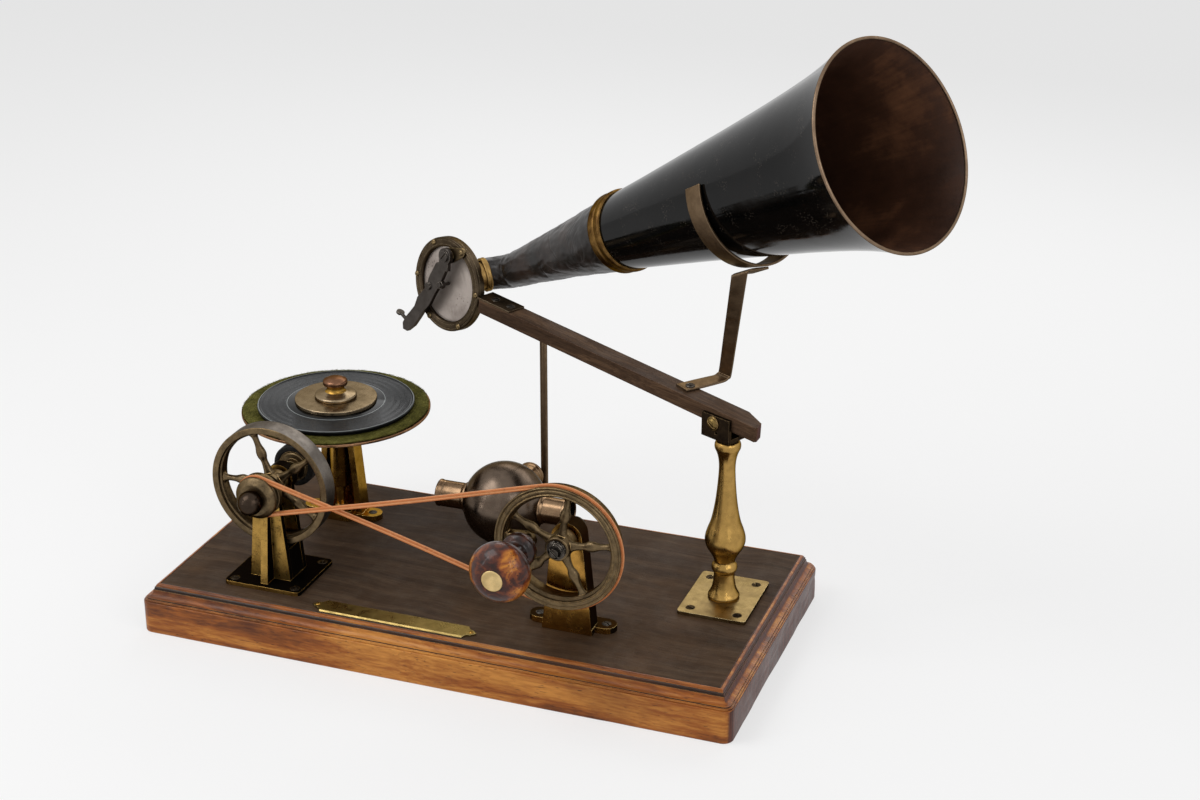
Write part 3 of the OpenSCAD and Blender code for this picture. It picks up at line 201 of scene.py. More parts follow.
def grid_patch(points: Array, wrap_rows: bool, wrap_cols: bool, capped: bool = False) -> Patch:
    """Joins a grid of points into quads.

    A quad joins the points (i, j), (i + 1, j), (i + 1, j + 1) and (i, j + 1). Its place on the
    unrolled surface is the mean length run along the columns, and along the rows.

    Args:
        points: Grid of shape (rows, columns, 3).
        wrap_rows: The last row joins the first.
        wrap_cols: The last column joins the first.
        capped: The first and last rows are closed with flat ends.

    Returns:
        The patch.
    """
    rows, cols = points.shape[:2]
    i = np.arange(rows if wrap_rows else rows - 1)[:, None]
    j = np.arange(cols if wrap_cols else cols - 1)[None, :]
    i, j = (a.reshape(-1) for a in np.broadcast_arrays(i, j))
    corners = [(i, j), (i + 1, j), (i + 1, j + 1), (i, j + 1)]
    quads = np.stack([(a % rows) * cols + b % cols for a, b in corners], axis=-1)
    down = np.linalg.norm(np.roll(points, -1, 0) - points, axis=-1).mean(1)
    over = np.linalg.norm(np.roll(points, -1, 1) - points, axis=-1).mean(0)
    v = np.concatenate([[0], np.cumsum(down)])
    u = np.concatenate([[0], np.cumsum(over)])
    wrap = np.stack([np.stack([u[b], v[a]], -1) for a, b in corners], axis=1)
    ends = [np.arange(cols), np.arange(cols) + (rows - 1) * cols] if capped else []
    return Patch(points.reshape(-1, 3), quads, wrap, ends)


def joined(*patches: Patch) -> Patch:
    """Several patches as one, each with its own finishes."""
    starts = np.cumsum([0] + [len(p.points) for p in patches])[:-1]
    return Patch(
        np.concatenate([p.points for p in patches]),
        np.concatenate([p.quads + s for p, s in zip(patches, starts)]),
        np.concatenate([p.wrap for p in patches]),
        [end + s for p, s in zip(patches, starts) for end in p.ends],
        np.concatenate([np.broadcast_to(p.finishes, len(p.quads)) for p in patches]),
    )


def eased(points: Outline, radius: float, steps: int = 4, loop: bool = False) -> Array:
    """Rounds the corners of an outline.

    Each corner becomes a quadratic curve between the points that lie the given radius, or four
    tenths of the side, back along its two sides.

    Args:
        points: Corners in order.
        radius: Largest distance from a corner to where its curve starts.
        steps: Pieces of each curve.
        loop: The last corner joins the first.

    Returns:
        The rounded outline, with the ends kept where it is open.
    """
    p = np.asarray(points, float)
    before, after = np.roll(p, 1, 0), np.roll(p, -1, 0)
    reach_in = np.linalg.norm(before - p, axis=1, keepdims=True)
    reach_out = np.linalg.norm(after - p, axis=1, keepdims=True)
    start = p + (before - p) * np.minimum(radius / np.maximum(reach_in, 1e-9), 0.4)
    stop = p + (after - p) * np.minimum(radius / np.maximum(reach_out, 1e-9), 0.4)
    t = np.linspace(0, 1, steps + 1)[None, :, None]
    curve = (1 - t) ** 2 * start[:, None] + 2 * t * (1 - t) * p[:, None] + t**2 * stop[:, None]
    if loop:
        return curve.reshape(-1, p.shape[1])
    return np.concatenate([p[:1], curve[1:-1].reshape(-1, p.shape[1]), p[-1:]])


def flowing(points: Outline, steps: int) -> Array:
    """A smooth curve through the points: cubics whose slope at a point is that of its neighbours.

    Args:
        points: Places in order.
        steps: Pieces between one place and the next.

    Returns:
        The curve's points, with the first and last places at its ends.
    """
    p = np.asarray(points, float)
    padded = np.concatenate([2 * p[:1] - p[1:2], p, 2 * p[-1:] - p[-2:-1]])
    a, b, c, d = padded[:-3, None], padded[1:-2, None], padded[2:-1, None], padded[3:, None]
    t = np.linspace(0, 1, steps, endpoint=False)[None, :, None]
    curve = b + 0.5 * t * (c - a + t * (2 * a - 5 * b + 4 * c - d + t * (3 * (b - c) + d - a)))
    return np.concatenate([curve.reshape(-1, p.shape[1]), p[-1:]])


def turned(profile: Array, axes: Axes, sides: int = 96, loop: bool = False,
           shape: Callable[[Array, Array, Array], Array] | None = None) -> Patch:
    """Surface of a profile turned about the frame's z axis.

    The point (r, h) at the angle a lies at r·cos a along x, r·sin a along y and h along z. The
    shape function may first change r by the profile's place, r and h, and by the angle.

    Args:
        profile: Radii and heights, of shape (n, 2).
        axes: Frame whose z is the axis.
        sides: Places around the axis.
        loop: The profile's last point joins its first.
        shape: Growth of the radius as a function of radius, height and angle.

    Returns:
        The patch.
    """
    angle = ring(sides)[None, :]
    radius, height = profile[:, :1], profile[:, 1:2]
    grown = radius + (shape(radius, height, angle) if shape else 0 * angle)
    grid = np.stack(np.broadcast_arrays(grown * np.cos(angle), grown * np.sin(angle), height), -1)
    return grid_patch(axes.place(grid), loop, True)


def carried(path: Array, section: Array, across: Array, loop: bool = False) -> Patch:
    """Surface of a section carried along a path.

    The section's point (a, b) lies at the path's point plus a times the across direction, which is
    squared to the path, plus b times the direction square to both.

    Args:
        path: Places on the centre line, of shape (n, 3).
        section: Closed outline, of shape (m, 2), or one for each place, of shape (n, m, 2).
        across: Directions of the section's first axis, of shape (3,) or (n, 3).
        loop: The path's last place joins its first.

    Returns:
        The patch, closed with flat ends where the path is open.
    """
    ahead = np.roll(path, -1, 0) - np.roll(path, 1, 0) if loop else np.gradient(path, axis=0)
    ahead = unit(ahead)
    side = np.broadcast_to(across, path.shape)
    side = unit(side - (side * ahead).sum(-1, keepdims=True) * ahead)
    rise = np.cross(ahead, side)
    outline = np.broadcast_to(section, (len(path), *section.shape[-2:]))
    grid = path[:, None] + outline[..., :1] * side[:, None] + outline[..., 1:] * rise[:, None]
    return grid_patch(grid, loop, True, capped=not loop)


def curve_between(start: Array, leave: Array, arrive: Array, end: Array, pull: float, steps: int) -> Array:
    """Cubic curve that leaves one place along a direction and arrives at another along a second."""
    reach = pull * np.linalg.norm(end - start)
    t = np.linspace(0, 1, steps)[:, None]
    near, far = start + reach * unit(leave), end - reach * unit(arrive)
    return (1 - t) ** 3 * start + 3 * t * (1 - t) ** 2 * near + 3 * t**2 * (1 - t) * far + t**3 * end


def circle(angle: Array) -> Array:
    """Places on the unit circle, as the cosine and sine of each angle along a last axis."""
    return np.stack([np.cos(angle), np.sin(angle)], -1)


def ring(sides: int) -> Array:
    """Angles of a full turn in even steps, in radians."""
    return np.linspace(0, TAU, sides, endpoint=False)


def arc(x: float, y: float, radius: float, start: float, stop: float, count: int) -> Array:
    """Places on an arc about (x, y) between two angles in degrees."""
    return np.array([x, y]) + radius * circle(np.radians(np.linspace(start, stop, count)))


def rounded_bar(width: float, height: float, radius: float, steps: int = 4) -> Array:
    """Closed outline of a rectangle with rounded corners, about its centre."""
    w, h = width / 2, height / 2
    return eased([[-w, -h], [w, -h], [w, h], [-w, h]], radius * 1.3, steps, loop=True)


def ripples(u: Array, v: Array, seed: int, waves: int = 14, roughness: float = 1.0) -> Array:
    """Smooth noise of about unit size: a sum of sines of u and v.

    Each sine has whole turns along u, so that the noise closes around a circle, and its strength
    falls as its turns rise.

    Args:
        u: Angles, in radians.
        v: Places along the other way, in the same units as a turn.
        seed: Number that picks the sines.
        waves: How many sines are added.
        roughness: Share of the quick sines.

    Returns:
        The noise, shaped as u and v together.
    """
    chance = np.random.default_rng(seed)
    turns = chance.integers(0, 3 + int(9 * roughness), waves)
    slopes = chance.normal(0, 1 + 4 * roughness, waves)
    phases = chance.uniform(0, TAU, waves)
    strengths = 1 / (1 + 0.35 * (turns + np.abs(slopes)))
    total = sum(s * np.sin(k * u + m * v + p) for s, k, m, p in zip(strengths, turns, slopes, phases))
    return total / np.sqrt((strengths**2).sum() / 2)


# Meshes and pieces


def dress(mesh: Mesh, finishes: Sequence[str], chosen: Array) -> None:
    """Gives a mesh its finishes, the one that each face has, and smooth faces."""
    for finish in finishes:
        mesh.materials.append(material_of(finish))
    mesh.polygons.foreach_set("material_index", chosen.astype(np.int32))
    mesh.polygons.foreach_set("use_smooth", np.ones(len(mesh.polygons), bool))


def mesh_of(name: str, patch: Patch, finishes: Sequence[str], sharp: float) -> Mesh:
    """Puts a patch into a mesh with its unrolled places, its finishes and outward faces.

    Args:
        name: Name of the mesh.
        patch: Surface to put in.
        finishes: Names of the finishes that the patch's own numbers count.
        sharp: Angle in degrees from which an edge stays sharp.

    Returns:
        The mesh.
    """
    mesh = bpy.data.meshes.new(name)
    mesh.from_pydata(patch.points * MM, [], patch.quads.tolist() + [end.tolist() for end in patch.ends])
    flat = [np.zeros((sum(len(end) for end in patch.ends), 2))] if patch.ends else []
    wrap = np.concatenate([patch.wrap.reshape(-1, 2), *flat]) * MM
    mesh.uv_layers.new(name=WRAP_MAP).uv.foreach_set("vector", wrap.astype(np.float32).ravel())
    chosen = np.zeros(len(mesh.polygons))
    chosen[: len(patch.quads)] = patch.finishes
    dress(mesh, finishes, chosen)
    work = bmesh.new()
    work.from_mesh(mesh)
    bmesh.ops.remove_doubles(work, verts=work.verts, dist=MERGE)
    bmesh.ops.recalc_face_normals(work, faces=work.faces)
    work.to_mesh(mesh)
    work.free()
    mesh.set_sharp_from_angle(angle=math.radians(sharp))
    return mesh


def stand_in(mesh: Mesh, body: str, node: str) -> bpy.types.Object:
    """Makes a piece of a mesh, rides it on a body and lets it stand for a CAD node.

    Args:
        mesh: Finished mesh, in the object's frame.
        body: CAD body that the piece moves with.
        node: CAD node that the piece stands for.

    Returns:
        The piece.
    """
    piece = bpy.data.objects.new(mesh.name, mesh)
    bpy.context.scene.collection.objects.link(piece)
    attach(piece, body)
    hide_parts(node)
    log.info("%s: %d faces on body %s", mesh.name, len(mesh.polygons), body)
    return piece


def softened(node: str, body: str, finishes: Sequence[str], edge: float,
             paint: Callable[[Array], Array] | None) -> None:
    """Stands a copy of a CAD node in for it, with its sharp edges rounded.

    Args:
        node: CAD node to copy.
        body: CAD body that the piece moves with.
        finishes: Names of the copy's finishes.
        edge: Width of the rounding.
        paint: Which of the finishes each face has, as a function of the faces' centres.
    """
    mesh = bpy.data.meshes.new(f"{node}_worn")
    work = bmesh.new()
    work.from_mesh(frame["nodes"][node].data)
    bmesh.ops.remove_doubles(work, verts=work.verts, dist=MERGE)
    bmesh.ops.dissolve_limit(work, angle_limit=math.radians(0.8), verts=work.verts, edges=work.edges)
    work.to_mesh(mesh)
    work.free()
    mesh.materials.clear()
    centres = np.array([face.center for face in mesh.polygons]) / MM
    dress(mesh, finishes, paint(centres) if paint else np.zeros(len(centres)))
    piece = stand_in(mesh, body, node)
    bevel = piece.modifiers.new("Rounding", "BEVEL")
    bevel.width = edge * MM
    bevel.segments = 2
    bevel.limit_method = "ANGLE"
    bevel.angle_limit = math.radians(32)
    piece.modifiers.new("Flat faces", "WEIGHTED_NORMAL").keep_sharp = True


# Shader graphs


def linear(hexcode: str) -> Colour:
    """Linear colour of a display colour written as six hexadecimal digits."""
    shares = np.array([int(hexcode[i : i + 2], 16) / 255 for i in (0, 2, 4)])
    low, high = shares / 12.92, ((shares + 0.055) / 1.055) ** 2.4
    return tuple(float(x) for x in np.where(shares <= 0.04045, low, high))


class Graph:
    """Places and links the nodes of one shader tree."""

    def __init__(self, tree: Tree) -> None:
        """Starts on a tree, whose nodes stay."""
        self.tree = tree

    def add(self, kind: str, **settings: object) -> Node:
        """A new node with the given settings."""
        made = self.tree.nodes.new(kind)
        for name, value in settings.items():
            setattr(made, name, value)
        return made

    def put(self, socket: Socket, value: Value | None) -> None:
        """Links a socket to another one, or sets its constant, which may be a colour's six digits."""
        if isinstance(value, str):
            value = linear(value)
        if isinstance(value, bpy.types.NodeSocket):
            self.tree.links.new(value, socket)
        elif value is not None:
            is_colour = socket.type == "RGBA" and len(value) == 3
            socket.default_value = (*value, 1) if is_colour else value

    def fill(self, node: Node, values: dict[str | int, Value | None]) -> None:
        """Puts values into the inputs of a node."""
        for name, value in values.items():
            self.put(node.inputs[name], value)

    def read(self, kind: str, output: str | int, values: dict[str | int, Value | None],
             **settings: object) -> Socket:
        """One output of a new node with the given inputs and settings."""
        node = self.add(kind, **settings)
        self.fill(node, values)
        return node.outputs[output]

    def object_place(self) -> Socket:
        """Place on the piece, in its own coordinates."""
        return self.read("ShaderNodeTexCoord", "Object", {})

    def wrap_place(self) -> Socket:
        """Place on the piece's unrolled surface, in metres."""
        return self.read("ShaderNodeUVMap", "UV", {}, uv_map=WRAP_MAP)

    def mapped(self, vector: Value, scale: Colour = (1, 1, 1), turn: Colour = (0, 0, 0),
               shift: Colour = (0, 0, 0)) -> Socket:
        """A place moved, turned in degrees and scaled."""
        turns = tuple(math.radians(a) for a in turn)
        return self.read("ShaderNodeMapping", "Vector",
                         {"Vector": vector, "Scale": scale, "Rotation": turns, "Location": shift})

    def noise(self, vector: Value, scale: Value, detail: float = 4, roughness: float = 0.55,
              distortion: float = 0) -> Socket:
        """Soft noise between 0 and 1."""
        return self.read("ShaderNodeTexNoise", "Fac", {
            "Vector": vector, "Scale": scale, "Detail": detail, "Roughness": roughness,
            "Distortion": distortion})

    def cells(self, vector: Value, scale: Value, feature: str = "F1") -> Socket:
        """Distance to the nearest of many scattered points, in cells."""
        return self.read("ShaderNodeTexVoronoi", "Distance", {"Vector": vector, "Scale": scale},
                         feature=feature)

    def remap(self, value: Value, low: Value, high: Value, to_low: float = 0, to_high: float = 1,
              smooth: bool = True) -> Socket:
        """A value between two limits spread over another span."""
        return self.read("ShaderNodeMapRange", "Result", {
            "Value": value, "From Min": low, "From Max": high, "To Min": to_low, "To Max": to_high},
            interpolation_type="SMOOTHSTEP" if smooth else "LINEAR")

    def math(self, operation: str, a: Value, b: Value | None = None, held: bool = False) -> Socket:
        """Result of an operation on one or two numbers."""
        return self.read("ShaderNodeMath", 0, {0: a, 1: b}, operation=operation, use_clamp=held)

    def held(self, operation: str, a: Value, b: Value | None = None) -> Socket:
        """Result of an operation, held between 0 and 1."""
        return self.math(operation, a, b, held=True)

    def times(self, a: Value, b: Value) -> Socket:
        """Product of two numbers."""
        return self.math("MULTIPLY", a, b)

    def plus(self, a: Value, b: Value) -> Socket:
        """Sum of two numbers."""
        return self.math("ADD", a, b)

    def minus(self, a: Value, b: Value) -> Socket:
        """Difference of two numbers."""
        return self.math("SUBTRACT", a, b)

    def weighed(self, a: Value, share: float, b: Value, other: float) -> Socket:
        """Two numbers added by their shares, held between 0 and 1."""
        return self.held("ADD", self.times(a, share), self.times(b, other))

    def mix(self, share: Value, a: Value, b: Value) -> Socket:
        """Two colours mixed."""
        return self.read("ShaderNodeMix", 2, {0: share, 6: a, 7: b}, data_type="RGBA")

    def ramp(self, value: Value, stops: dict[float, str]) -> Socket:
        """A colour read from a row of stops."""
        node = self.add("ShaderNodeValToRGB")
        elements = node.color_ramp.elements
        while len(elements) < len(stops):
            elements.new(0.5)
        for element, (place, colour) in zip(elements, stops.items()):
            element.position = place
            element.color = (*linear(colour), 1)
        self.put(node.inputs["Fac"], value)
        return node.outputs["Color"]

    def dot(self, vector: Value, other: Value) -> Socket:
        """Dot product of two directions."""
        return self.read("ShaderNodeVectorMath", "Value", {0: vector, 1: other}, operation="DOT_PRODUCT")

    def plain_normal(self) -> Socket:
        """The surface's own normal."""
        return self.read("ShaderNodeNewGeometry", "Normal", {})

    def facing(self, x: float, y: float, z: float) -> Socket:
        """How far the surface faces a direction, from -1 to 1."""
        return self.dot(self.plain_normal(), (x, y, z))

    def slanted(self, low: float, high: float, most: float) -> Socket:
        """A share that grows where the surface is seen at a slant."""
        return self.remap(self.read("ShaderNodeLayerWeight", "Facing", {}), low, high, 0, most)

    def part(self, vector: Value, axis: int) -> Socket:
        """One coordinate of a place."""
        return self.read("ShaderNodeSeparateXYZ", axis, {0: vector})

    def use(self, effect: Callable[[], Tree], **values: Value) -> Node:
        """A shared effect with its inputs set."""
        node = self.add("ShaderNodeGroup", node_tree=effect())
        self.fill(node, values)
        return node

    def mask(self, effect: Callable[[], Tree], **values: Value) -> Socket:
        """The mask that a shared effect puts out."""
        return self.use(effect, **values).outputs["Mask"]

    def bump(self, height: Value, depth: float, normal: Socket | None = None) -> Socket:
        """A normal bent by a height, whose full depth is in millimetres."""
        return self.read("ShaderNodeBump", "Normal",
                         {"Distance": depth * MM, "Height": height, "Normal": normal})


def shared(name: str, inputs: dict[str, float | None], *outputs: str) -> Callable[..., Callable[[], Tree]]:
    """Turns a function that works out a shader group into one that hands the group out.

    Args:
        name: Name of the group.
        inputs: Default of each number, or None for a vector.
        outputs: Names of the numbers or normals that it puts out.

    Returns:
        The decorator. Its function takes the graph and the inputs, and gives the outputs by name.
    """

    def wrap(work_out: Callable[..., Inputs]) -> Callable[[], Tree]:
        """Builds the group when it is first asked for, and keeps it."""

        @cache
        def group() -> Tree:
            """The group."""
            tree = bpy.data.node_groups.new(name, "ShaderNodeTree")
            for label, default in inputs.items():
                kind = "NodeSocketVector" if default is None else "NodeSocketFloat"
                socket = tree.interface.new_socket(label, in_out="INPUT", socket_type=kind)
                if default is not None:
                    socket.default_value = default
            for label in outputs:
                kind = "NodeSocketVector" if label == "Normal" else "NodeSocketFloat"
                tree.interface.new_socket(label, in_out="OUTPUT", socket_type=kind)
            g = Graph(tree)
            given = g.add("NodeGroupInput").outputs
            g.fill(g.add("NodeGroupOutput"), work_out(g, *(given[label] for label in inputs)))
            return tree

        return group

    return wrap


@shared("Rounded edges", {"Width": 0.5 * MM, "Breakup": 400.0, "Rub": 1.0}, "Normal", "Edge")
def rounded_edges(g: Graph, width: Socket, breakup: Socket, rub: Socket) -> Inputs:
    """Rounds edges for the light, and marks where they are rubbed bright.

    The surface's normal against the one averaged over the width shows the edges.
    """
    bevel = g.read("ShaderNodeBevel", "Normal", {"Radius": width}, samples=4)
    bend = g.remap(g.dot(bevel, g.plain_normal()), 0.999, 0.86)
    spots = g.remap(g.noise(g.object_place(), breakup, 3), 0.35, 0.6, 0.25, 1)
    return {"Normal": bevel, "Edge": g.held("MULTIPLY", g.held("MULTIPLY", bend, spots), rub)}


@shared("Stains", {"Place": None, "Scale": 40.0, "Cover": 0.5, "Softness": 0.2}, "Mask")
def stains(g: Graph, place: Socket, scale: Socket, cover: Socket, soft: Socket) -> Inputs:
    """Blotches of tarnish with soft, broken borders: a slow and a quick noise cut at the cover."""
    slow, quick = g.noise(place, scale, 5, 0.6), g.noise(place, g.times(scale, 7.0), 3)
    both = g.plus(g.times(slow, 0.75), g.times(quick, 0.25))
    limit = g.minus(0.85, g.times(cover, 0.7))
    return {"Mask": g.remap(both, g.minus(limit, soft), g.plus(limit, soft))}


@shared("Flecks", {"Place": None, "Scale": 500.0, "Amount": 0.5}, "Mask")
def flecks(g: Graph, place: Socket, scale: Socket, amount: Socket) -> Inputs:
    """Small specks of uneven size: the centres of small cells, thinned out by a slow noise."""
    near = g.remap(g.cells(place, scale), 0.34, 0.12)
    patchy = g.noise(place, g.times(scale, 0.11), 3)
    limit = g.minus(0.8, g.times(amount, 0.5))
    return {"Mask": g.held("MULTIPLY", near, g.remap(patchy, limit, g.plus(limit, 0.12)))}


@shared("Grain", {"Place": None, "Figure": 26.0, "Fibre": 420.0, "Stretch": 0.07},
        "Figure", "Fibre", "Pores", "Height")
def grain(g: Graph, place: Socket, figure: Socket, fibre: Socket, stretch: Socket) -> Inputs:
    """Wood that grows along X: three noises stretched along X, the broad one bent by a fourth."""
    axes = g.add("ShaderNodeSeparateXYZ")
    g.fill(axes, {0: place})
    sway = g.times(g.noise(place, 7.0, 2), 0.035)
    along = g.read("ShaderNodeCombineXYZ", 0, {
        0: g.times(axes.outputs[0], stretch), 1: g.plus(axes.outputs[1], sway), 2: axes.outputs[2]})
    fine = g.noise(along, fibre, 3, 0.6)
    pore = g.remap(g.noise(along, g.times(fibre, 2.1), 2), 0.63, 0.72)
    return {"Figure": g.noise(along, figure, 6, 0.62, 0.6), "Fibre": fine, "Pores": pore,
            "Height": g.held("SUBTRACT", fine, g.times(pore, 0.8))}


@shared("Settled dust", {"Place": None, "Amount": 0.3}, "Mask")
def settled_dust(g: Graph, place: Socket, amount: Socket) -> Inputs:
    """Dust on faces that look up, in patches."""
    level = g.remap(g.facing(0, 0, 1), 0.35, 0.95)
    patchy = g.remap(g.noise(place, 55.0, 6, 0.7), 0.42, 0.72)
    return {"Mask": g.held("MULTIPLY", g.held("MULTIPLY", level, patchy), amount)}


# Finishes


def new_material(name: str) -> tuple[Material, Graph, Node]:
    """An empty material with its graph and its main shader."""
    material = bpy.data.materials.new(name)
    material.use_nodes = True
    material.node_tree.nodes.clear()
    graph = Graph(material.node_tree)
    shader = graph.add("ShaderNodeBsdfPrincipled")
    graph.fill(graph.add("ShaderNodeOutputMaterial"), {"Surface": shader.outputs["BSDF"]})
    return material, graph, shader


class Finish:
    """What every finish shares. Lengths are in millimetres, and texture scales count per metre."""

    def look(self, g: Graph) -> Inputs:
        """Values of the main shader's inputs."""
        raise NotImplementedError

    def material(self, name: str) -> Material:
        """Builds the material."""
        material, g, shader = new_material(name)
        g.fill(shader, self.look(g))
        return material


class Marks(Enum):
    """What the tool left on a metal surface."""

    CAST = "cast"
    TURNED = "turned"


@dataclass(frozen=True)
class Metal(Finish):
    """Aged metal: clean colour, tarnish over part of it, rubbed edges, tool marks, and painted shade where
    the surface is seen at a slant.

    The filed cover is the tarnish on faces towards the front, where a casting was filed bright.
    """

    clean: str
    tarnish: str
    rubbed: str
    cover: float = 0.5
    stain_scale: float = 45.0
    softness: float = 0.16
    roughness: float = 0.3
    dull: float = 0.22
    marks: Marks = Marks.CAST
    mark_depth: float = 0.05
    edge: float = 0.5
    filed_cover: float = 0.0
    speckle: float = 0.6
    # share of the painted rim shade, and the dark colour that serves both the dirt specks and that painted
    # shade
    rim_dark: float = 0.35
    dirt_and_rim_shade: str = "1c1712"

    def look(self, g: Graph) -> Inputs:
        """Values of the main shader's inputs."""
        place = g.object_place()
        edges = g.use(rounded_edges, Width=self.edge * MM, Rub=0.85).outputs
        cover: Value = self.cover
        if self.filed_cover:
            cover = g.remap(g.facing(0, -1, 0), 0.6, 0.9, self.cover, self.filed_cover)
        stained = g.mask(stains, Place=place, Scale=self.stain_scale, Cover=cover, Softness=self.softness)
        clean = g.mix(g.remap(g.noise(place, 160.0, 4), 0.3, 0.75), self.clean,
                      tuple(0.72 * c for c in linear(self.clean)))
        dirt_and_rim_shade = g.mask(flecks, Place=place, Scale=700.0, Amount=0.75)
        aged = g.mix(g.times(dirt_and_rim_shade, self.speckle), g.mix(stained, clean, self.tarnish), self.dirt_and_rim_shade)
        colour = g.mix(edges["Edge"], aged, self.rubbed)
        # painted shade: where the surface is seen at a slant, the colour darkens towards the dark tone,
        # standing in for dark reflections at the rims
        if self.rim_dark:
            colour = g.mix(g.slanted(0.35, 0.95, self.rim_dark), colour, self.dirt_and_rim_shade)
        smudged = g.remap(g.noise(place, 90.0, 5, 0.65), 0.3, 0.7,
                          self.roughness - 0.06, self.roughness + 0.08)
        rough = g.plus(g.times(stained, self.dull), smudged)
        return {"Base Color": colour, "Metallic": 1.0, "Specular Tint": (0.45, 0.42, 0.38, 1),
                "Roughness": g.held("SUBTRACT", rough, g.times(edges["Edge"], 0.1)),
                "Normal": g.bump(self.mark_height(g, place), self.mark_depth, edges["Normal"])}

    def mark_height(self, g: Graph, place: Socket) -> Socket:
        """Height of the tool marks."""
        if self.marks is Marks.TURNED:
            return g.noise(g.mapped(g.wrap_place(), (12, 2600, 1)), 1.0, 3)
        pits = g.remap(g.cells(place, 900.0), 0.0, 0.35)
        return g.plus(g.times(pits, 0.5), g.noise(place, 420.0, 5, 0.7))


@dataclass(frozen=True)
class Timber(Finish):
    """Stained wood with its grain along X of the turned place, darker ends and rubbed edges."""

    dark: str
    middle: str
    light: str
    pore: str
    rubbed: str
    upper: str
    end_dark: str
    end_light: str
    figure: float
    fibre: float
    stretch: float
    figure_span: tuple[float, float]
    roughness: float
    coat: float
    turn: Colour = (0, 0, 0)
    edge: float = 0.8
    rub: float = 0.6
    dust: float = 0.0
    gloss: float = 0.25

    def look(self, g: Graph) -> Inputs:
        """Values of the main shader's inputs."""
        place = g.mapped(g.object_place(), turn=self.turn)
        wood = g.use(grain, Place=place, Figure=self.figure, Fibre=self.fibre, Stretch=self.stretch).outputs
        tone = g.weighed(g.remap(wood["Figure"], *self.figure_span), 0.72,
                         g.remap(wood["Fibre"], 0.3, 0.7), 0.28)
        colour = g.ramp(tone, {0.0: self.dark, 0.5: self.middle, 1.0: self.light})
        if self.upper:
            colour = g.mix(g.remap(g.noise(place, 9.0, 4, 0.6), 0.5, 0.78, 0, 0.6), colour, self.upper)
        colour = g.mix(g.times(wood["Pores"], 0.7), self.with_ends(g, colour), self.pore)
        edges = g.use(rounded_edges, Width=self.edge * MM, Breakup=150.0, Rub=self.rub).outputs
        colour = g.mix(edges["Edge"], colour, self.rubbed)
        if self.dust:
            dusty = g.mask(settled_dust, Place=place, Amount=self.dust)
            specks = g.mask(flecks, Place=place, Scale=900.0, Amount=0.5)
            colour = g.mix(g.held("ADD", dusty, g.times(specks, 3 * self.dust)), colour, "8d8172")
        smudges = g.noise(place, 22.0, 5, 0.65)
        return {"Base Color": colour, "Specular IOR Level": self.gloss, "Coat Weight": self.coat,
                "Coat Roughness": 0.22,
                "Roughness": g.remap(smudges, 0.3, 0.7, self.roughness - 0.08, self.roughness + 0.1),
                "Normal": g.bump(wood["Height"], 0.12, edges["Normal"])}

    def with_ends(self, g: Graph, colour: Socket) -> Socket:
        """Colour with the sawn ends' closer, upright lines."""
        place = g.mapped(g.object_place(), (90, 900, 28))
        lines = g.remap(g.noise(place, 1.0, 4, 0.7), 0.32, 0.68)
        ends = g.mix(lines, self.end_dark, self.end_light)
        return g.mix(g.remap(g.math("ABSOLUTE", g.facing(1, 0, 0)), 0.55, 0.8), colour, ends)


@dataclass(frozen=True)
class Burl(Finish):
    """Polished burr wood: mottled swirls with dark eyes, and painted shade at its slanted rims."""

    dark: str = "1c0905"
    low: str = "471b0b"
    middle: str = "824016"
    light: str = "d0862f"

    def look(self, g: Graph) -> Inputs:
        """Values of the main shader's inputs."""
        place = g.object_place()
        swirl = g.noise(place, 70.0, 6, 0.6, 2.2)
        patch = g.remap(g.noise(place, 24.0, 3, 0.5, 0.8), 0.42, 0.6)
        tone = g.weighed(g.remap(swirl, 0.3, 0.72), 0.45, patch, 0.55)
        colour = g.ramp(tone, {0.0: self.dark, 0.3: self.low, 0.58: self.middle, 1.0: self.light})
        eyes = g.mask(flecks, Place=place, Scale=420.0, Amount=0.95)
        colour = g.mix(g.times(eyes, 0.8), colour, "1c0a06")
        # painted shade: the colour darkens towards the dark stop where the knob is seen at a slant
        return {"Base Color": g.mix(g.slanted(0.45, 1.0, 0.6), colour, self.dark),
                "Roughness": g.remap(swirl, 0.3, 0.7, 0.3, 0.42), "Specular IOR Level": 0.2,
                "Coat Weight": 0.3, "Coat Roughness": 0.06, "Normal": g.bump(swirl, 0.04)}


@dataclass(frozen=True)
class Lacquer(Finish):
    """Lacquered sheet: gloss over wavy metal, with scratches, dust and worn-through spots."""

    base: str
    warm: str
    worn_and_glint: str
    roughness: float
    wear: float
    gloss: float
    grit: float
    wave: float = 0.25
    wave_scale: float = 24.0
    creased: float = 0.0

    def look(self, g: Graph) -> Inputs:
        """Values of the main shader's inputs."""
        place = g.object_place()
        colour = g.mix(g.remap(g.noise(place, 26.0, 5, 0.6), 0.42, 0.72), self.base, self.warm)
        worn_and_glint = g.mask(stains, Place=place, Scale=120.0, Cover=self.wear, Softness=0.05)
        specks = g.mask(flecks, Place=place, Scale=620.0, Amount=0.55)
        colour = g.mix(g.times(specks, 0.35), g.mix(worn_and_glint, colour, self.worn_and_glint), "6e6459")
        hazy = g.noise(place, 60.0, 6, 0.7)
        rough = g.remap(hazy, 0.35, 0.75, self.roughness, self.roughness + 0.14)
        waves = g.bump(g.noise(place, self.wave_scale, 2, 0.5), self.wave)
        if self.creased:
            fold = g.math("ABSOLUTE", g.minus(g.noise(place, 26.0, 3, 0.55, 0.7), 0.5))
            waves = g.bump(g.remap(fold, 0.0, 0.05), self.creased, waves)
        return {"Base Color": colour, "Roughness": g.held("ADD", rough, g.times(worn_and_glint, 0.3)),
                "Specular IOR Level": self.gloss,
                "Normal": g.bump(g.noise(place, 700.0, 4, 0.6), self.grit, waves)}


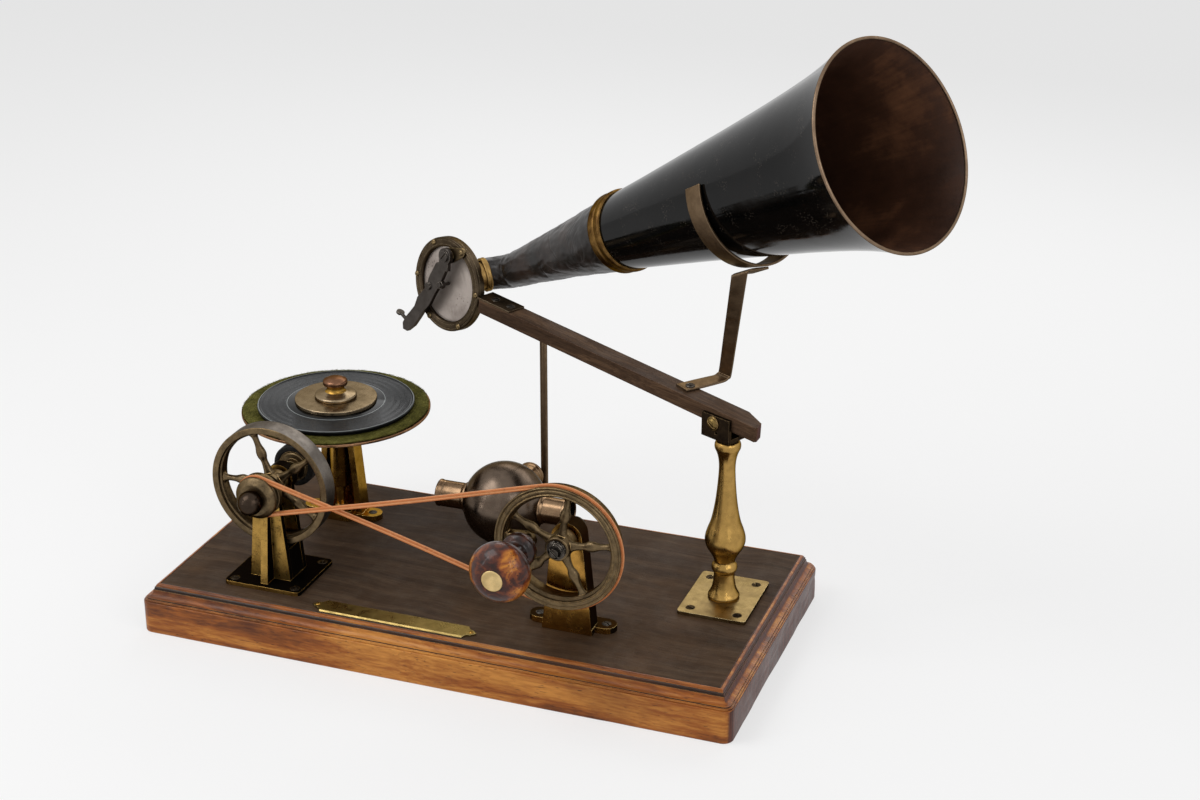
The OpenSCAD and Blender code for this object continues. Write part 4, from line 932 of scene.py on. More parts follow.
@dataclass(frozen=True)
class InnerSheet(Finish):
    """Bare inside of the horn: brown copper with drawn streaks, and painted shade that darkens it down the
    throat.
    """

    deep: str = "24140c"
    middle: str = "472b1b"
    mouth: str = "85583a"

    def look(self, g: Graph) -> Inputs:
        """Values of the main shader's inputs."""
        wrap, place = g.wrap_place(), g.object_place()
        streaks = g.noise(g.mapped(wrap, (420, 9, 1)), 1.0, 4, 0.6)
        clouds = g.noise(place, 22.0, 5, 0.65)
        tone = g.weighed(g.remap(clouds, 0.2, 0.8), 0.7, streaks, 0.3)
        colour = g.ramp(tone, {0.1: self.deep, 0.55: self.middle, 1.0: self.mouth})
        # painted shade: deeper into the throat along the unrolled surface, the colour darkens towards near
        # black
        return {"Base Color": g.mix(g.remap(g.part(wrap, 1), 0.33, 0.48, 0, 0.8), colour, "1c110c"),
                "Metallic": g.remap(clouds, 0.35, 0.65, 0.15, 0.45),
                "Roughness": g.remap(clouds, 0.3, 0.7, 0.42, 0.6),
                "Normal": g.bump(g.noise(place, 260.0, 5, 0.6), 0.08)}


@dataclass(frozen=True)
class BeltLeather(Finish):
    """Cut leather thong: pale worn faces, orange cut edges and dark scuffs."""

    face: str = "dc9a66"
    cut: str = "bd6f3d"
    scuff: str = "7d452a"
    side: float = 6.0

    def look(self, g: Graph) -> Inputs:
        """Values of the main shader's inputs."""
        wrap, place = g.wrap_place(), g.object_place()
        around = g.math("ABSOLUTE", g.math("SINE", g.times(g.part(wrap, 0), TAU / (self.side * MM))))
        mottle = g.noise(place, 300.0, 5, 0.65)
        colour = g.mix(g.remap(around, 0.3, 0.8), self.face, self.cut)
        colour = g.mix(g.remap(mottle, 0.52, 0.75, 0, 0.4), colour, "e8b184")
        scuffs = g.mask(stains, Place=place, Scale=190.0, Cover=0.3, Softness=0.05)
        return {"Base Color": g.mix(g.times(scuffs, 0.65), colour, self.scuff),
                "Roughness": g.remap(mottle, 0.3, 0.7, 0.5, 0.72), "Specular IOR Level": 0.3,
                "Normal": g.bump(g.plus(mottle, g.times(g.cells(place, 1700.0), 0.4)), 0.12)}


@dataclass(frozen=True)
class Felt(Finish):
    """Wool felt: clouds of green and short tangled fibres."""

    dark: str = "22210b"
    middle: str = "4a471d"
    light: str = "979250"

    def look(self, g: Graph) -> Inputs:
        """Values of the main shader's inputs."""
        place = g.object_place()
        clouds = g.noise(place, 70.0, 5, 0.7)
        tangle = g.noise(g.mapped(place, (1, 1, 3)), 1300.0, 4, 0.7, 1.4)
        tone = g.weighed(g.remap(clouds, 0.3, 0.7), 0.3, g.remap(tangle, 0.3, 0.7), 0.7)
        return {"Base Color": g.ramp(tone, {0.0: self.dark, 0.5: self.middle, 1.0: self.light}),
                "Roughness": g.remap(clouds, 0.3, 0.7, 0.85, 0.98), "Specular IOR Level": 0.05,
                "Normal": g.bump(tangle, 0.5)}


@dataclass(frozen=True)
class Shellac(Finish):
    """Pressed record: fine grooves around the middle, bare land, faint scratches and dust, with painted sheen
    on the grooved band and painted highlight lines at the land's edge and on the rim's bead.
    """

    base: str = "08090a"
    sheen: str = "111315"
    line: str = "8c908f"
    groove_pitch: float = 0.42
    land: tuple[float, float] = (39.6, 61)

    def look(self, g: Graph) -> Inputs:
        """Values of the main shader's inputs."""
        place = g.mapped(g.object_place(), shift=(-LAYOUT.flywheel_x * MM, -LAYOUT.spindle_y * MM, 0))
        flat = g.read("ShaderNodeVectorMath", 0, {0: place, 1: (1, 1, 0)}, operation="MULTIPLY")
        radius = g.read("ShaderNodeVectorMath", "Value", {0: flat}, operation="LENGTH")
        ripple = g.math("SINE", g.times(radius, TAU / (self.groove_pitch * MM)))
        low, high = (r * MM for r in self.land)
        cut = g.held("MULTIPLY", g.remap(radius, low, low + 0.6 * MM), g.remap(radius, high, high - 0.6 * MM))
        # painted sheen: noise bands across the grooved ring lighten it towards the sheen colour
        bands = g.noise(g.times(radius, 1.0), 900.0, 3)
        tone = g.held("MULTIPLY", cut, g.remap(bands, 0.35, 0.65))
        colour = g.mix(g.mask(settled_dust, Place=place, Amount=0.05),
                       g.mix(tone, self.base, self.sheen), "7b7d7c")
        # painted highlights: two pale lines, one at the land's edge and one on the rim's bead
        for worn_and_glint in (low, high + 1.6 * MM):
            off = g.math("ABSOLUTE", g.minus(radius, worn_and_glint))
            colour = g.mix(g.remap(off, 0.5 * MM, 0.15 * MM, 0, 0.8), colour, self.line)
        rough = g.remap(g.noise(place, 60.0, 5, 0.7), 0.3, 0.7, 0.06, 0.14)
        return {"Base Color": colour, "Roughness": g.held("ADD", rough, g.times(cut, 0.06)),
                "Specular IOR Level": 0.1, "Normal": g.bump(g.times(g.times(ripple, cut), 0.5), 0.03)}


@dataclass(frozen=True)
class Rubber(Finish):
    """Old rubber: near black, bloomed grey where it is worn, lightly crazed."""

    base: str = "191715"
    bloom: str = "3b3733"

    def look(self, g: Graph) -> Inputs:
        """Values of the main shader's inputs."""
        place = g.object_place()
        bloom = g.noise(place, 130.0, 5, 0.7)
        crazed = g.remap(g.cells(place, 700.0, "DISTANCE_TO_EDGE"), 0.0, 0.06)
        colour = g.mix(g.remap(bloom, 0.45, 0.7), self.base, self.bloom)
        return {"Base Color": g.mix(crazed, "0c0b0a", colour), "Specular IOR Level": 0.2,
                "Roughness": g.remap(bloom, 0.3, 0.7, 0.55, 0.75),
                "Normal": g.bump(g.held("MULTIPLY", crazed, bloom), 0.06)}


@dataclass(frozen=True)
class Diaphragm(Finish):
    """Thin grey sheet with soft clouds, fine scratches and age spots."""

    base: str = "b3a79e"
    shade: str = "8d8179"
    spot: str = "4a403a"

    def look(self, g: Graph) -> Inputs:
        """Values of the main shader's inputs."""
        place = g.object_place()
        clouds = g.remap(g.noise(place, 38.0, 5, 0.6), 0.35, 0.7)
        spots = g.mask(flecks, Place=place, Scale=330.0, Amount=0.6)
        colour = g.mix(g.times(spots, 0.6), g.mix(clouds, self.base, self.shade), self.spot)
        scratches = g.remap(g.noise(g.mapped(place, (900, 60, 120), (0, 30, 20)), 1.0, 3), 0.62, 0.7)
        return {"Base Color": g.mix(g.times(scratches, 0.3), colour, "c9bfb6"), "Metallic": 0.35,
                "Roughness": g.remap(clouds, 0.0, 1.0, 0.3, 0.45),
                "Normal": g.bump(g.noise(place, 500.0, 4), 0.02)}


FIGURED = Timber("4a210b", "9a561d", "d28f41", "200e05", "e0a860", "5c2e11", "2a120d", "643527",
                 figure=34, fibre=520, stretch=0.1, figure_span=(0.36, 0.66), roughness=0.4, coat=0.08)
STAINED = Timber("251b13", "443427", "624e3c", "0d0906", "7d5732", "5f4630", "2a120d", "5a3124",
                 figure=95, fibre=1500, stretch=0.035, figure_span=(0.1, 0.9), roughness=0.62, coat=0.0,
                 dust=0.08, rub=0.35, gloss=0.06)
GOLD = Metal("ab843f", "6a4a1e", "f0cf8a", cover=0.22, softness=0.3, roughness=0.2, stain_scale=28,
             marks=Marks.TURNED, mark_depth=0.006, speckle=0.12, rim_dark=0.6, dirt_and_rim_shade="2a1808")
SATIN = replace(GOLD, marks=Marks.CAST, mark_depth=0.02, roughness=0.28, stain_scale=45)
CAST_BRASS = Metal("7a674b", "3a3126", "cfab76", cover=0.4, softness=0.26, roughness=0.32, dull=0.1,
                   mark_depth=0.1, stain_scale=120, rim_dark=0.5, dirt_and_rim_shade="17110a", edge=0.7)
DARK_CASTING = Metal("a37c3c", "15120f", "b58e4c", cover=0.95, softness=0.1, mark_depth=0.16,
                     stain_scale=90)
BROWN_BRONZE = Metal("7a6650", "574737", "b09474", cover=0.4, softness=0.35, roughness=0.34,
                     stain_scale=30, mark_depth=0.02, speckle=0.25)
BOX_BRONZE = Metal("544839", "342b22", "b8a384", cover=0.4, softness=0.35, roughness=0.28,
                   stain_scale=40, marks=Marks.TURNED, mark_depth=0.012, speckle=0.3)


def recoloured(base: Finish, colours: str, **changes: float | str) -> Finish:
    """A finish with other colours, given as clean, tarnished and rubbed, and other values."""
    return replace(base, **dict(zip(("clean", "tarnish", "rubbed"), colours.split())), **changes)


# Finish of each material slot in the record, and then of the pieces that have their own

FINISHES: dict[str, Finish] = {
    "figured_wood": FIGURED,
    "stained_wood": STAINED,
    "knob_wood": Burl(),
    "brass": GOLD,
    "pale_brass": recoloured(GOLD, "98866c 786650 ecc67e", roughness=0.24, rim_dark=0.4,
                             mark_depth=0.003, speckle=0.05, edge=0.2),
    "copper_brass": recoloured(GOLD, "a07a5a 6c4d39 dba57a", cover=0.45),
    "old_bronze": CAST_BRASS,
    "brown_bronze": BROWN_BRONZE,
    "gunmetal": Metal("6a5c50", "463c34", "a08d7a", cover=0.4, roughness=0.24, dull=0.06,
                      stain_scale=18, softness=0.4, mark_depth=0.01, speckle=0.1, rim_dark=0.1),
    "black_iron": DARK_CASTING,
    "dark_steel": Metal("625d57", "25211e", "aaa094", softness=0.3, mark_depth=0.015, stain_scale=60),
    "belt_leather": BeltLeather(),
    "tyre_rubber": Rubber("141210", "35302b"),
    "black_rubber": Rubber(),
    "green_felt": Felt(),
    "record_black": Shellac(),
    "diaphragm_grey": Diaphragm(),
    "neck_lacquer": Lacquer("15100d", "2c1f18", "7a5c3c", roughness=0.3, wave=0.5, wave_scale=34,
                            grit=0.02, wear=0.2, gloss=0.3, creased=0.1),
    "horn_lacquer": Lacquer("050505", "0b0908", "3a3029", roughness=0.04, wear=0.0, gloss=0.13,
                            grit=0.015),
    # darker wood for the moulding's recesses: grime and painted shade
    "grime_and_shade_wood": replace(FIGURED, dark="140a05", middle="2a160a", light="4a2a12", rub=0.1),
    "worn_plate": recoloured(SATIN, "9a8450 6b5830 f0da9a"),
    "column_brass": recoloured(GOLD, "b08c4e 8c6a36", cover=0.15, speckle=0.03, stain_scale=15,
                               roughness=0.25, mark_depth=0.002, rim_dark=0.8, edge=0.03),
    "satin_plate": recoloured(SATIN, "8f7b55 77644a e8d3a0", mark_depth=0.005, speckle=0.04),
    "dark_screw": Metal("443b31", "1c1814", "857765", roughness=0.32, edge=0.3),
    "rubbed_tread": Metal("857e77", "57514b", "b5aba0", cover=0.4, softness=0.3, roughness=0.34,
                          marks=Marks.TURNED, mark_depth=0.03),
    "filed_casting": replace(DARK_CASTING, clean="b08b48", filed_cover=0.32, rim_dark=0.2),
    "dark_nut": Metal("43382f", "2b221c", "97826c", cover=0.4, softness=0.4, roughness=0.2, dull=0.06,
                      stain_scale=30, mark_depth=0.01, speckle=0.1),
    "filed_brass": recoloured(SATIN, "b98a42 2a2016", cover=1.3, filed_cover=0.01, roughness=0.24),
    "blackened_screw": Metal("2c2824", "12100e", "b5aa9c", cover=0.7, roughness=0.26, edge=0.3),
    "collar_wood": Burl("120604", "25100a", "3d1d10", "553020"),
    "matt_cap": recoloured(SATIN, "e0c48c a88a58", cover=0.3, roughness=0.42, mark_depth=0.06),
    "stem_brass": replace(SATIN, mark_depth=0.004),
    "grip_top": recoloured(SATIN, "7c5a45 5a3d2e d0ab86", mark_depth=0.01),
    "tube_brass": recoloured(SATIN, "8a7056 594736 d8bd9c", roughness=0.2),
    "fork_bronze": Metal("4f4030", "1d1713", "8a7352", cover=0.65, softness=0.25, roughness=0.33,
                         mark_depth=0.08),
    "bolt_brass": recoloured(CAST_BRASS, "8a7344 4a3b22", mark_depth=0.03),
    "arm_walnut": replace(STAINED, dark="281c14", middle="4b382a", light="765b44", upper="",
                          rubbed="93705a", turn=(0, 0, -LAYOUT.arm_azimuth), dust=0.05, rub=0.5,
                          figure=90, fibre=1100),
    "plate_bronze": recoloured(BROWN_BRONZE, "6b5b49 43372b a8937a"),
    "box_bronze": BOX_BRONZE,
    "domed_screw": replace(BOX_BRONZE, clean="7d6a4c", rubbed="cdb382", cover=0.3, roughness=0.24),
    "bracket_brass": recoloured(BOX_BRONZE, "75644a 4b3f2e c9ae7c"),
    "stylus_steel": Metal("55504c", "36312e", "9a9086", cover=0.4, softness=0.35, roughness=0.28,
                          stain_scale=28, mark_depth=0.01, speckle=0.2),
    "elbow_brass": recoloured(SATIN, "b0905a 7c6037 e6cc96", cover=0.5, rim_dark=0.2),
    "aged_band": recoloured(CAST_BRASS, "846538 3a2614 e2b566", cover=0.5, mark_depth=0.06, edge=0.9),
    "dull_rim": recoloured(BROWN_BRONZE, "917b66 5f4c3c d8bf9c"),
    "bare_inside": InnerSheet(),
}


@cache
def material_of(name: str) -> Material:
    """Material of a finish, built when it is first asked for."""
    return FINISHES[name].material(name)


SLOT_OF_NODE: dict[str, str] = {row["node"]: row["material_slot"] for row in frame["record"]["subparts"]}
BODY_OF_NODE: dict[str, str] = {
    node: body for body, nodes in frame["record"]["behaviour"]["bodies"].items() for node in nodes
}


# Sub-assemblies


class SubAssembly:
    """What every sub-assembly shares. Its sizes are in millimetres."""

    def wear(self, node: str, edge: float, *finishes: str,
             paint: Callable[[Array], Array] | None = None) -> None:
        """Stands a copy with rounded edges in for a CAD node, in its slot's finish or in others."""
        slot = SLOT_OF_NODE[node]
        softened(node, BODY_OF_NODE[node], finishes or [slot], edge, paint)

    def make(self, name: str, node: str, patch: Patch, *finishes: str, sharp: float = 35) -> None:
        """Puts a patch in the place of a CAD node, in its slot's finish or in others."""
        slot = SLOT_OF_NODE[node]
        stand_in(mesh_of(name, patch, finishes or [slot], sharp), BODY_OF_NODE[node], node)

    def keep(self, *nodes: str) -> None:
        """Gives CAD nodes whose shape stays the material of their slot."""
        for node in nodes:
            for place in frame["nodes"][node].material_slots:
                place.material = material_of(SLOT_OF_NODE[node])
            log.info("%s: kept from the frame", node)


@dataclass
class Board(SubAssembly):
    """The stained board: a plain slab, a moulded top, and the bare nameplate pinned to it."""

    corner_r: float = 8
    moulding_w: float = 11.2
    lip: float = 1.2
    cove_r: float = 5.16
    bead_r: float = 2
    step: float = 3
    slab_dents: float = 0.35
    moulding_dents: float = 0.22

    def outline(self, inset: Array) -> Array:
        """Plan of the board drawn in by each inset, as a grid of shape (insets, places, 2).

        Each side is cut into steps and each corner is a quarter circle whose radius falls with the
        inset, so that the corners of the inner lines end up nearly square.
        """
        w, d = (size / 2 for size in LAYOUT.board)
        radius = np.maximum(self.corner_r - inset, 0.9)[:, None]
        half_w, half_d = (w - inset)[:, None], (d - inset)[:, None]
        bend = np.linspace(0, TAU / 4, 9)[None, :]
        runs = []
        for k in range(4):
            along, across = (half_d, half_w) if k % 2 == 0 else (half_w, half_d)
            count = int(2 * (d if k % 2 == 0 else w) / self.step)
            t = np.linspace(-1, 1, count)[None, 1:-1]
            side = np.stack(np.broadcast_arrays(across, t * (along - radius)), -1)
            corner = np.stack([across - radius + radius * np.cos(bend),
                               along - radius + radius * np.sin(bend)], -1)
            run = np.concatenate([side, corner], axis=1)
            runs.append(run @ spin("z", 90 * k)[:2, :2].T)
        return np.concatenate(runs, axis=1)

    def edge_strip(self, profile: Array, dent: float) -> Patch:
        """Profile of insets and heights carried around the board, with small dents in it."""
        plan = self.outline(profile[:, 0])
        place = np.linspace(0, TAU, plan.shape[1], endpoint=False)[None, :]
        dents = np.clip(ripples(place, profile[:, 1:] / 30, 5, 40, 6.0) - 0.9, 0, 1.4) * dent
        plan = plan - unit(plan) * dents[..., None]
        heights = np.broadcast_to(profile[:, 1:], plan.shape[:2])
        return grid_patch(np.concatenate([plan, heights[..., None]], -1), False, True, capped=True)

    def moulding(self) -> tuple[Array, Array]:
        """Section of the top board's edge, and the finish of each of its strips.

        It climbs the lip, the step, the cove, the quirk and the bead, and ends with the fine groove
        around the field. The finishes are the field's, the moulding's and that of its corners and groove,
        darkened with grime and painted shade.
        """
        z, top, lip, cove, bead = LAYOUT.slab_h, LAYOUT.top_z, self.lip, self.cove_r, self.bead_r
        step, high = lip + 1.4, z + 2.4
        hollow = arc(step, high + cove, cove, -90, 0, 9)
        start = eased([[lip + 9, z], [lip, z], [lip, z + 1.2], [step, z + 1.2], [step, high - 0.2]], 0.3, 3)
        back = self.moulding_w - bead - 0.8
        quirk = [[back, high + cove], [back, top - bead - 0.6]]
        ball = arc(self.moulding_w, top - bead, bead, 180, 90, 8)
        edge = np.concatenate([start, hollow, quirk, ball])
        groove = eased([[self.moulding_w + 0.6, top], [self.moulding_w + 1.1, top - 0.6],
                        [self.moulding_w + 1.6, top], [self.moulding_w + 9, top]], 0.2, 3)
        section = np.concatenate([edge, groove])
        finishes = (np.arange(len(section) - 1) < len(edge)).astype(np.int64)
        # finish 2 darkens the step's corner, the cove's inner corner and the groove's lower rows: grime and
        # painted shade in these recesses
        corner, inner = len(start), len(start) + len(hollow)
        finishes[[corner - 2, corner - 1, inner - 1, inner, inner + 1]] = 2
        finishes[(section[:-1, 1] < top - 0.1) & (np.arange(len(finishes)) > len(edge))] = 2
        return section, finishes

    def build(self) -> None:
        """Builds the slab, the moulded board and the nameplate."""
        top = LAYOUT.slab_h
        slab = eased([[9, 0], [0, 0], [0, top / 4], [0, top / 2], [0, 3 * top / 4], [0, top],
                      [4, top]], 1.1, 5)
        self.make("board_slab", "plinth", self.edge_strip(slab, self.slab_dents))
        section, strips = self.moulding()
        board = self.edge_strip(section, self.moulding_dents)
        board.finishes = np.repeat(strips, len(board.quads) // len(strips))
        self.make("moulded_board", "top_board", board, "stained_wood", "figured_wood", "grime_and_shade_wood")
        self.wear("nameplate", 0.25, "worn_plate")
        self.wear("nameplate_pins", 0.1)


@dataclass
class Pillar(SubAssembly):
    """The turned brass column on its screwed plate."""

    base_z: float = 41.6
    belly_r: float = 15.6
    neck_r: float = 6.25

    def profile(self) -> Array:
        """Outline of the column from its foot to its rounded head."""
        b, n = self.belly_r, self.neck_r
        outline = [
            [11.9, 0], [12.2, 1.2], [11.9, 2.6], [10.6, 5], [9.3, 8.5], [8.4, 13], [8, 17],
            [8.1, 21.4], [9.1, 22.6], [9.8, 24.4], [9.9, 26], [9.5, 28], [8.4, 29.8], [8, 31],
            [8.8, 33.6], [b - 4.6, 38], [b - 2, 42.2], [b - 0.4, 46.4], [b, 49.5], [b - 0.5, 53.5],
            [b - 2, 58.5], [b - 4.1, 64.5], [n + 3.4, 73], [n + 1.9, 83], [n + 0.8, 94],
            [n + 0.2, 103], [n, 109.4], [n + 0.3, 114.5], [n + 1.2, 119.4], [8.8, 123.2],
            [9.7, 125.2], [10, 127.2], [9.8, 129.2], [9, 130.8], [8.2, 131.4]]
        return np.concatenate([[[0, 0]], flowing(outline, 5), [[0, 131.4]]])

    def build(self) -> None:
        """Builds the column, its plate and its screws."""
        axes = upright_at(*LAYOUT.pillar, self.base_z)
        column = turned(self.profile(), axes, 96)
        self.make("turned_column", "pillar_column", column, "column_brass", sharp=50)
        self.wear("pillar_plate", 0.4, "satin_plate")
        self.wear("pillar_screws", 0.15, "dark_screw")


@dataclass
class CastWheel(SubAssembly):
    """A spoked wheel: a rim of rounded section, a hub and waisted spokes."""

    centre_x: float
    front_y: float
    width: float
    rim_t: float
    web_t: float
    first: float
    spoke_z: float
    grooved: bool = False
    hub_r: float = 9.5
    hub_extra: float = 0.0
    spokes: int = 5
    groove_r: float = 2.1

    @property
    def axes(self) -> Axes:
        """Frame of the wheel: z runs to the back from the rim's front."""
        return along_y(self.centre_x, self.front_y, LAYOUT.shaft_z)

    def rim(self) -> Patch:
        """Turned rim: the tread or its groove, flat cheeks and an inner face with a raised web."""
        r, w, inner, web = LAYOUT.wheel_r, self.width, LAYOUT.wheel_r - self.rim_t, self.web_t
        outer = [[r, w], [r, 0]]
        if self.grooved:
            drum, g, at = r - 3.2, self.groove_r, LAYOUT.belt_y - self.front_y
            bend = arc(LAYOUT.wheel_belt_r, at, g, 112, 270, 9)
            front = [[49, -0.01], [47.6, -0.01], [47.3, 0.7], [46.6, 0.7], [46.3, 0.1], [44.2, 0.1],
                     [43.9, 0.5], [43.5, 0.5], [43.2, 0]]
            outer = [[drum, w], [drum, at + g + 1.6], [r - 0.4, at + g + 1.5],
                     [bend[0, 0] + 0.3, at + g - 0.1], *bend, [r, at - g - 0.01], *front]
        corners = [*outer, [inner, 0], [inner, 2.6], [inner - web, 3.6],
                   [inner - web, self.spoke_z + 5], [inner, self.spoke_z + 6], [inner, w]]
        patch = turned(eased(corners, 0.55, 3, loop=True), self.axes, 160, loop=True)
        middles = patch.points[patch.quads].mean(1)
        away = np.hypot(middles[:, 0] - self.centre_x, middles[:, 2] - LAYOUT.shaft_z)
        along = np.abs(middles[:, 1] - self.front_y - w / 2)
        patch.finishes = ((away > r - 0.3) & (along < w / 2 - 0.5)).astype(np.int64)
        return patch

    def hub(self) -> Patch:
        """Turned hub with eased ends."""
        r, w = self.hub_r, self.width + self.hub_extra
        return turned(eased([[0, 0], [r, 0], [r, w], [0, w]], 1.2), self.axes, 64)

    def spoke(self, angle: float) -> Patch:
        """One spoke: an ellipse carried from the hub to the rim.

        Its half width follows the waisted outline of the casting, and its half depth is a share of
        that width, so that the boss in the middle swells both ways.
        """
        start, stop = self.hub_r - 1.5, LAYOUT.wheel_r - self.rim_t
        m = (start + stop) / 2
        waist = flowing([[start, 5.8], [start + 3, 3.7], [m - 7, 2.6], [m - 3, 3.8], [m, 4.2], [m + 3, 3.5],
                         [m + 7, 2.45], [stop - 5, 2.5], [stop - 2, 4.3], [stop + 1, 7.2]], 5)
        along, half = waist.T
        deep = np.clip(0.5 * half + 1.1, 2.0, 3.0)
        section = np.stack([half, deep], -1)[:, None] * circle(ring(20))
        axes = self.axes.turned("z", angle).moved(z=self.spoke_z + 2.5)
        path = axes.place(np.stack([along, 0 * along, 0 * along], -1))
        return carried(path, section, axes.turn[:, 1])

    def casting(self) -> Patch:
        """Rim, hub and spokes as one patch, with the tread as the second finish."""
        turns = [self.first + k * 360 / self.spokes for k in range(self.spokes)]
        return joined(self.rim(), self.hub(), *(self.spoke(angle) for angle in turns))


@dataclass
class FlywheelGroup(SubAssembly):
    """The flywheel, its cast stand, the small pulley and the friction wheel."""

    front_y: float = -70
    width: float = 15
    pulley_front: float = -8
    pulley_back: float = 6.7
    pulley_r: float = 17.1
    groove_r: float = 2.05
    nut_r: float = 9.6
    nut_ahead: float = 13
    friction_back: float = -20
    friction_w: float = 10
    friction_r: float = 17
    tyre_t: float = 4.5

    def build(self) -> None:
        """Builds the stand and everything on the flywheel's shaft."""
        wheel = CastWheel(LAYOUT.flywheel_x, self.front_y, self.width, 5.0, 1.6, -110, self.width / 2 - 2.5)
        self.make("flywheel_casting", "flywheel", wheel.casting(), "old_bronze", "rubbed_tread")
        self.pulley()
        self.friction_wheel()
        self.wear("flywheel_stand", 0.5, "filed_casting")
        self.wear("flywheel_stand_screws", 0.15, "dark_screw")
        self.keep("flywheel_bushes", "flywheel_shaft")

    def pulley(self) -> None:
        """Grooved pulley and the round nut in front of it."""
        axes = along_y(LAYOUT.flywheel_x, LAYOUT.belt_y, LAYOUT.shaft_z)
        r, g, deep = self.pulley_r, self.groove_r, LAYOUT.pulley_belt_r
        front, back = self.pulley_front, self.pulley_back
        hollow = arc(deep, 0, g, -90, -270, 9)
        profile = eased([[0, front], [r - 4.5, front], [r - 0.8, front + 3.2], [r, front + 4.4],
                         [r, -g - 0.05], *hollow, [r, g + 0.05], [r, back], [0, back]], 0.5, 3)
        self.make("grooved_pulley", "small_pulley", turned(profile, axes, 96))
        seat = self.nut_ahead + front - 0.05
        bow = np.linspace(TAU / 2, math.acos(seat / self.nut_r), 28)
        ball = np.stack([self.nut_r * np.sin(bow), self.nut_r * np.cos(bow)], 1)
        centre = along_y(LAYOUT.flywheel_x, LAYOUT.belt_y - self.nut_ahead, LAYOUT.shaft_z)
        nut = turned(np.concatenate([ball, [[0, seat]]]), centre, 64)
        self.make("round_nut", "ball_nut", nut, "dark_nut")

    def friction_wheel(self) -> None:
        """Bronze hub with its rubber tyre."""
        axes = along_y(LAYOUT.flywheel_x, self.friction_back - self.friction_w, LAYOUT.shaft_z)
        w, r, inner = self.friction_w, self.friction_r, self.friction_r - self.tyre_t
        hub = eased([[0, -5], [6.5, -5], [6.5, 0], [inner - 2, 0],
                     [inner - 1.5, 0.8], [inner, 0.4], [inner, w], [0, w]], 0.4)
        self.make("friction_boss", "friction_hub", turned(hub, axes, 64))
        tyre = eased([[inner + 0.05, 0], [r - 1, 0], [r, 1], [r, w - 1],
                      [r - 1, w], [inner + 0.05, w]], 0.7, 4, loop=True)
        self.make("rubber_tyre", "friction_tyre", turned(tyre, axes, 96, loop=True))


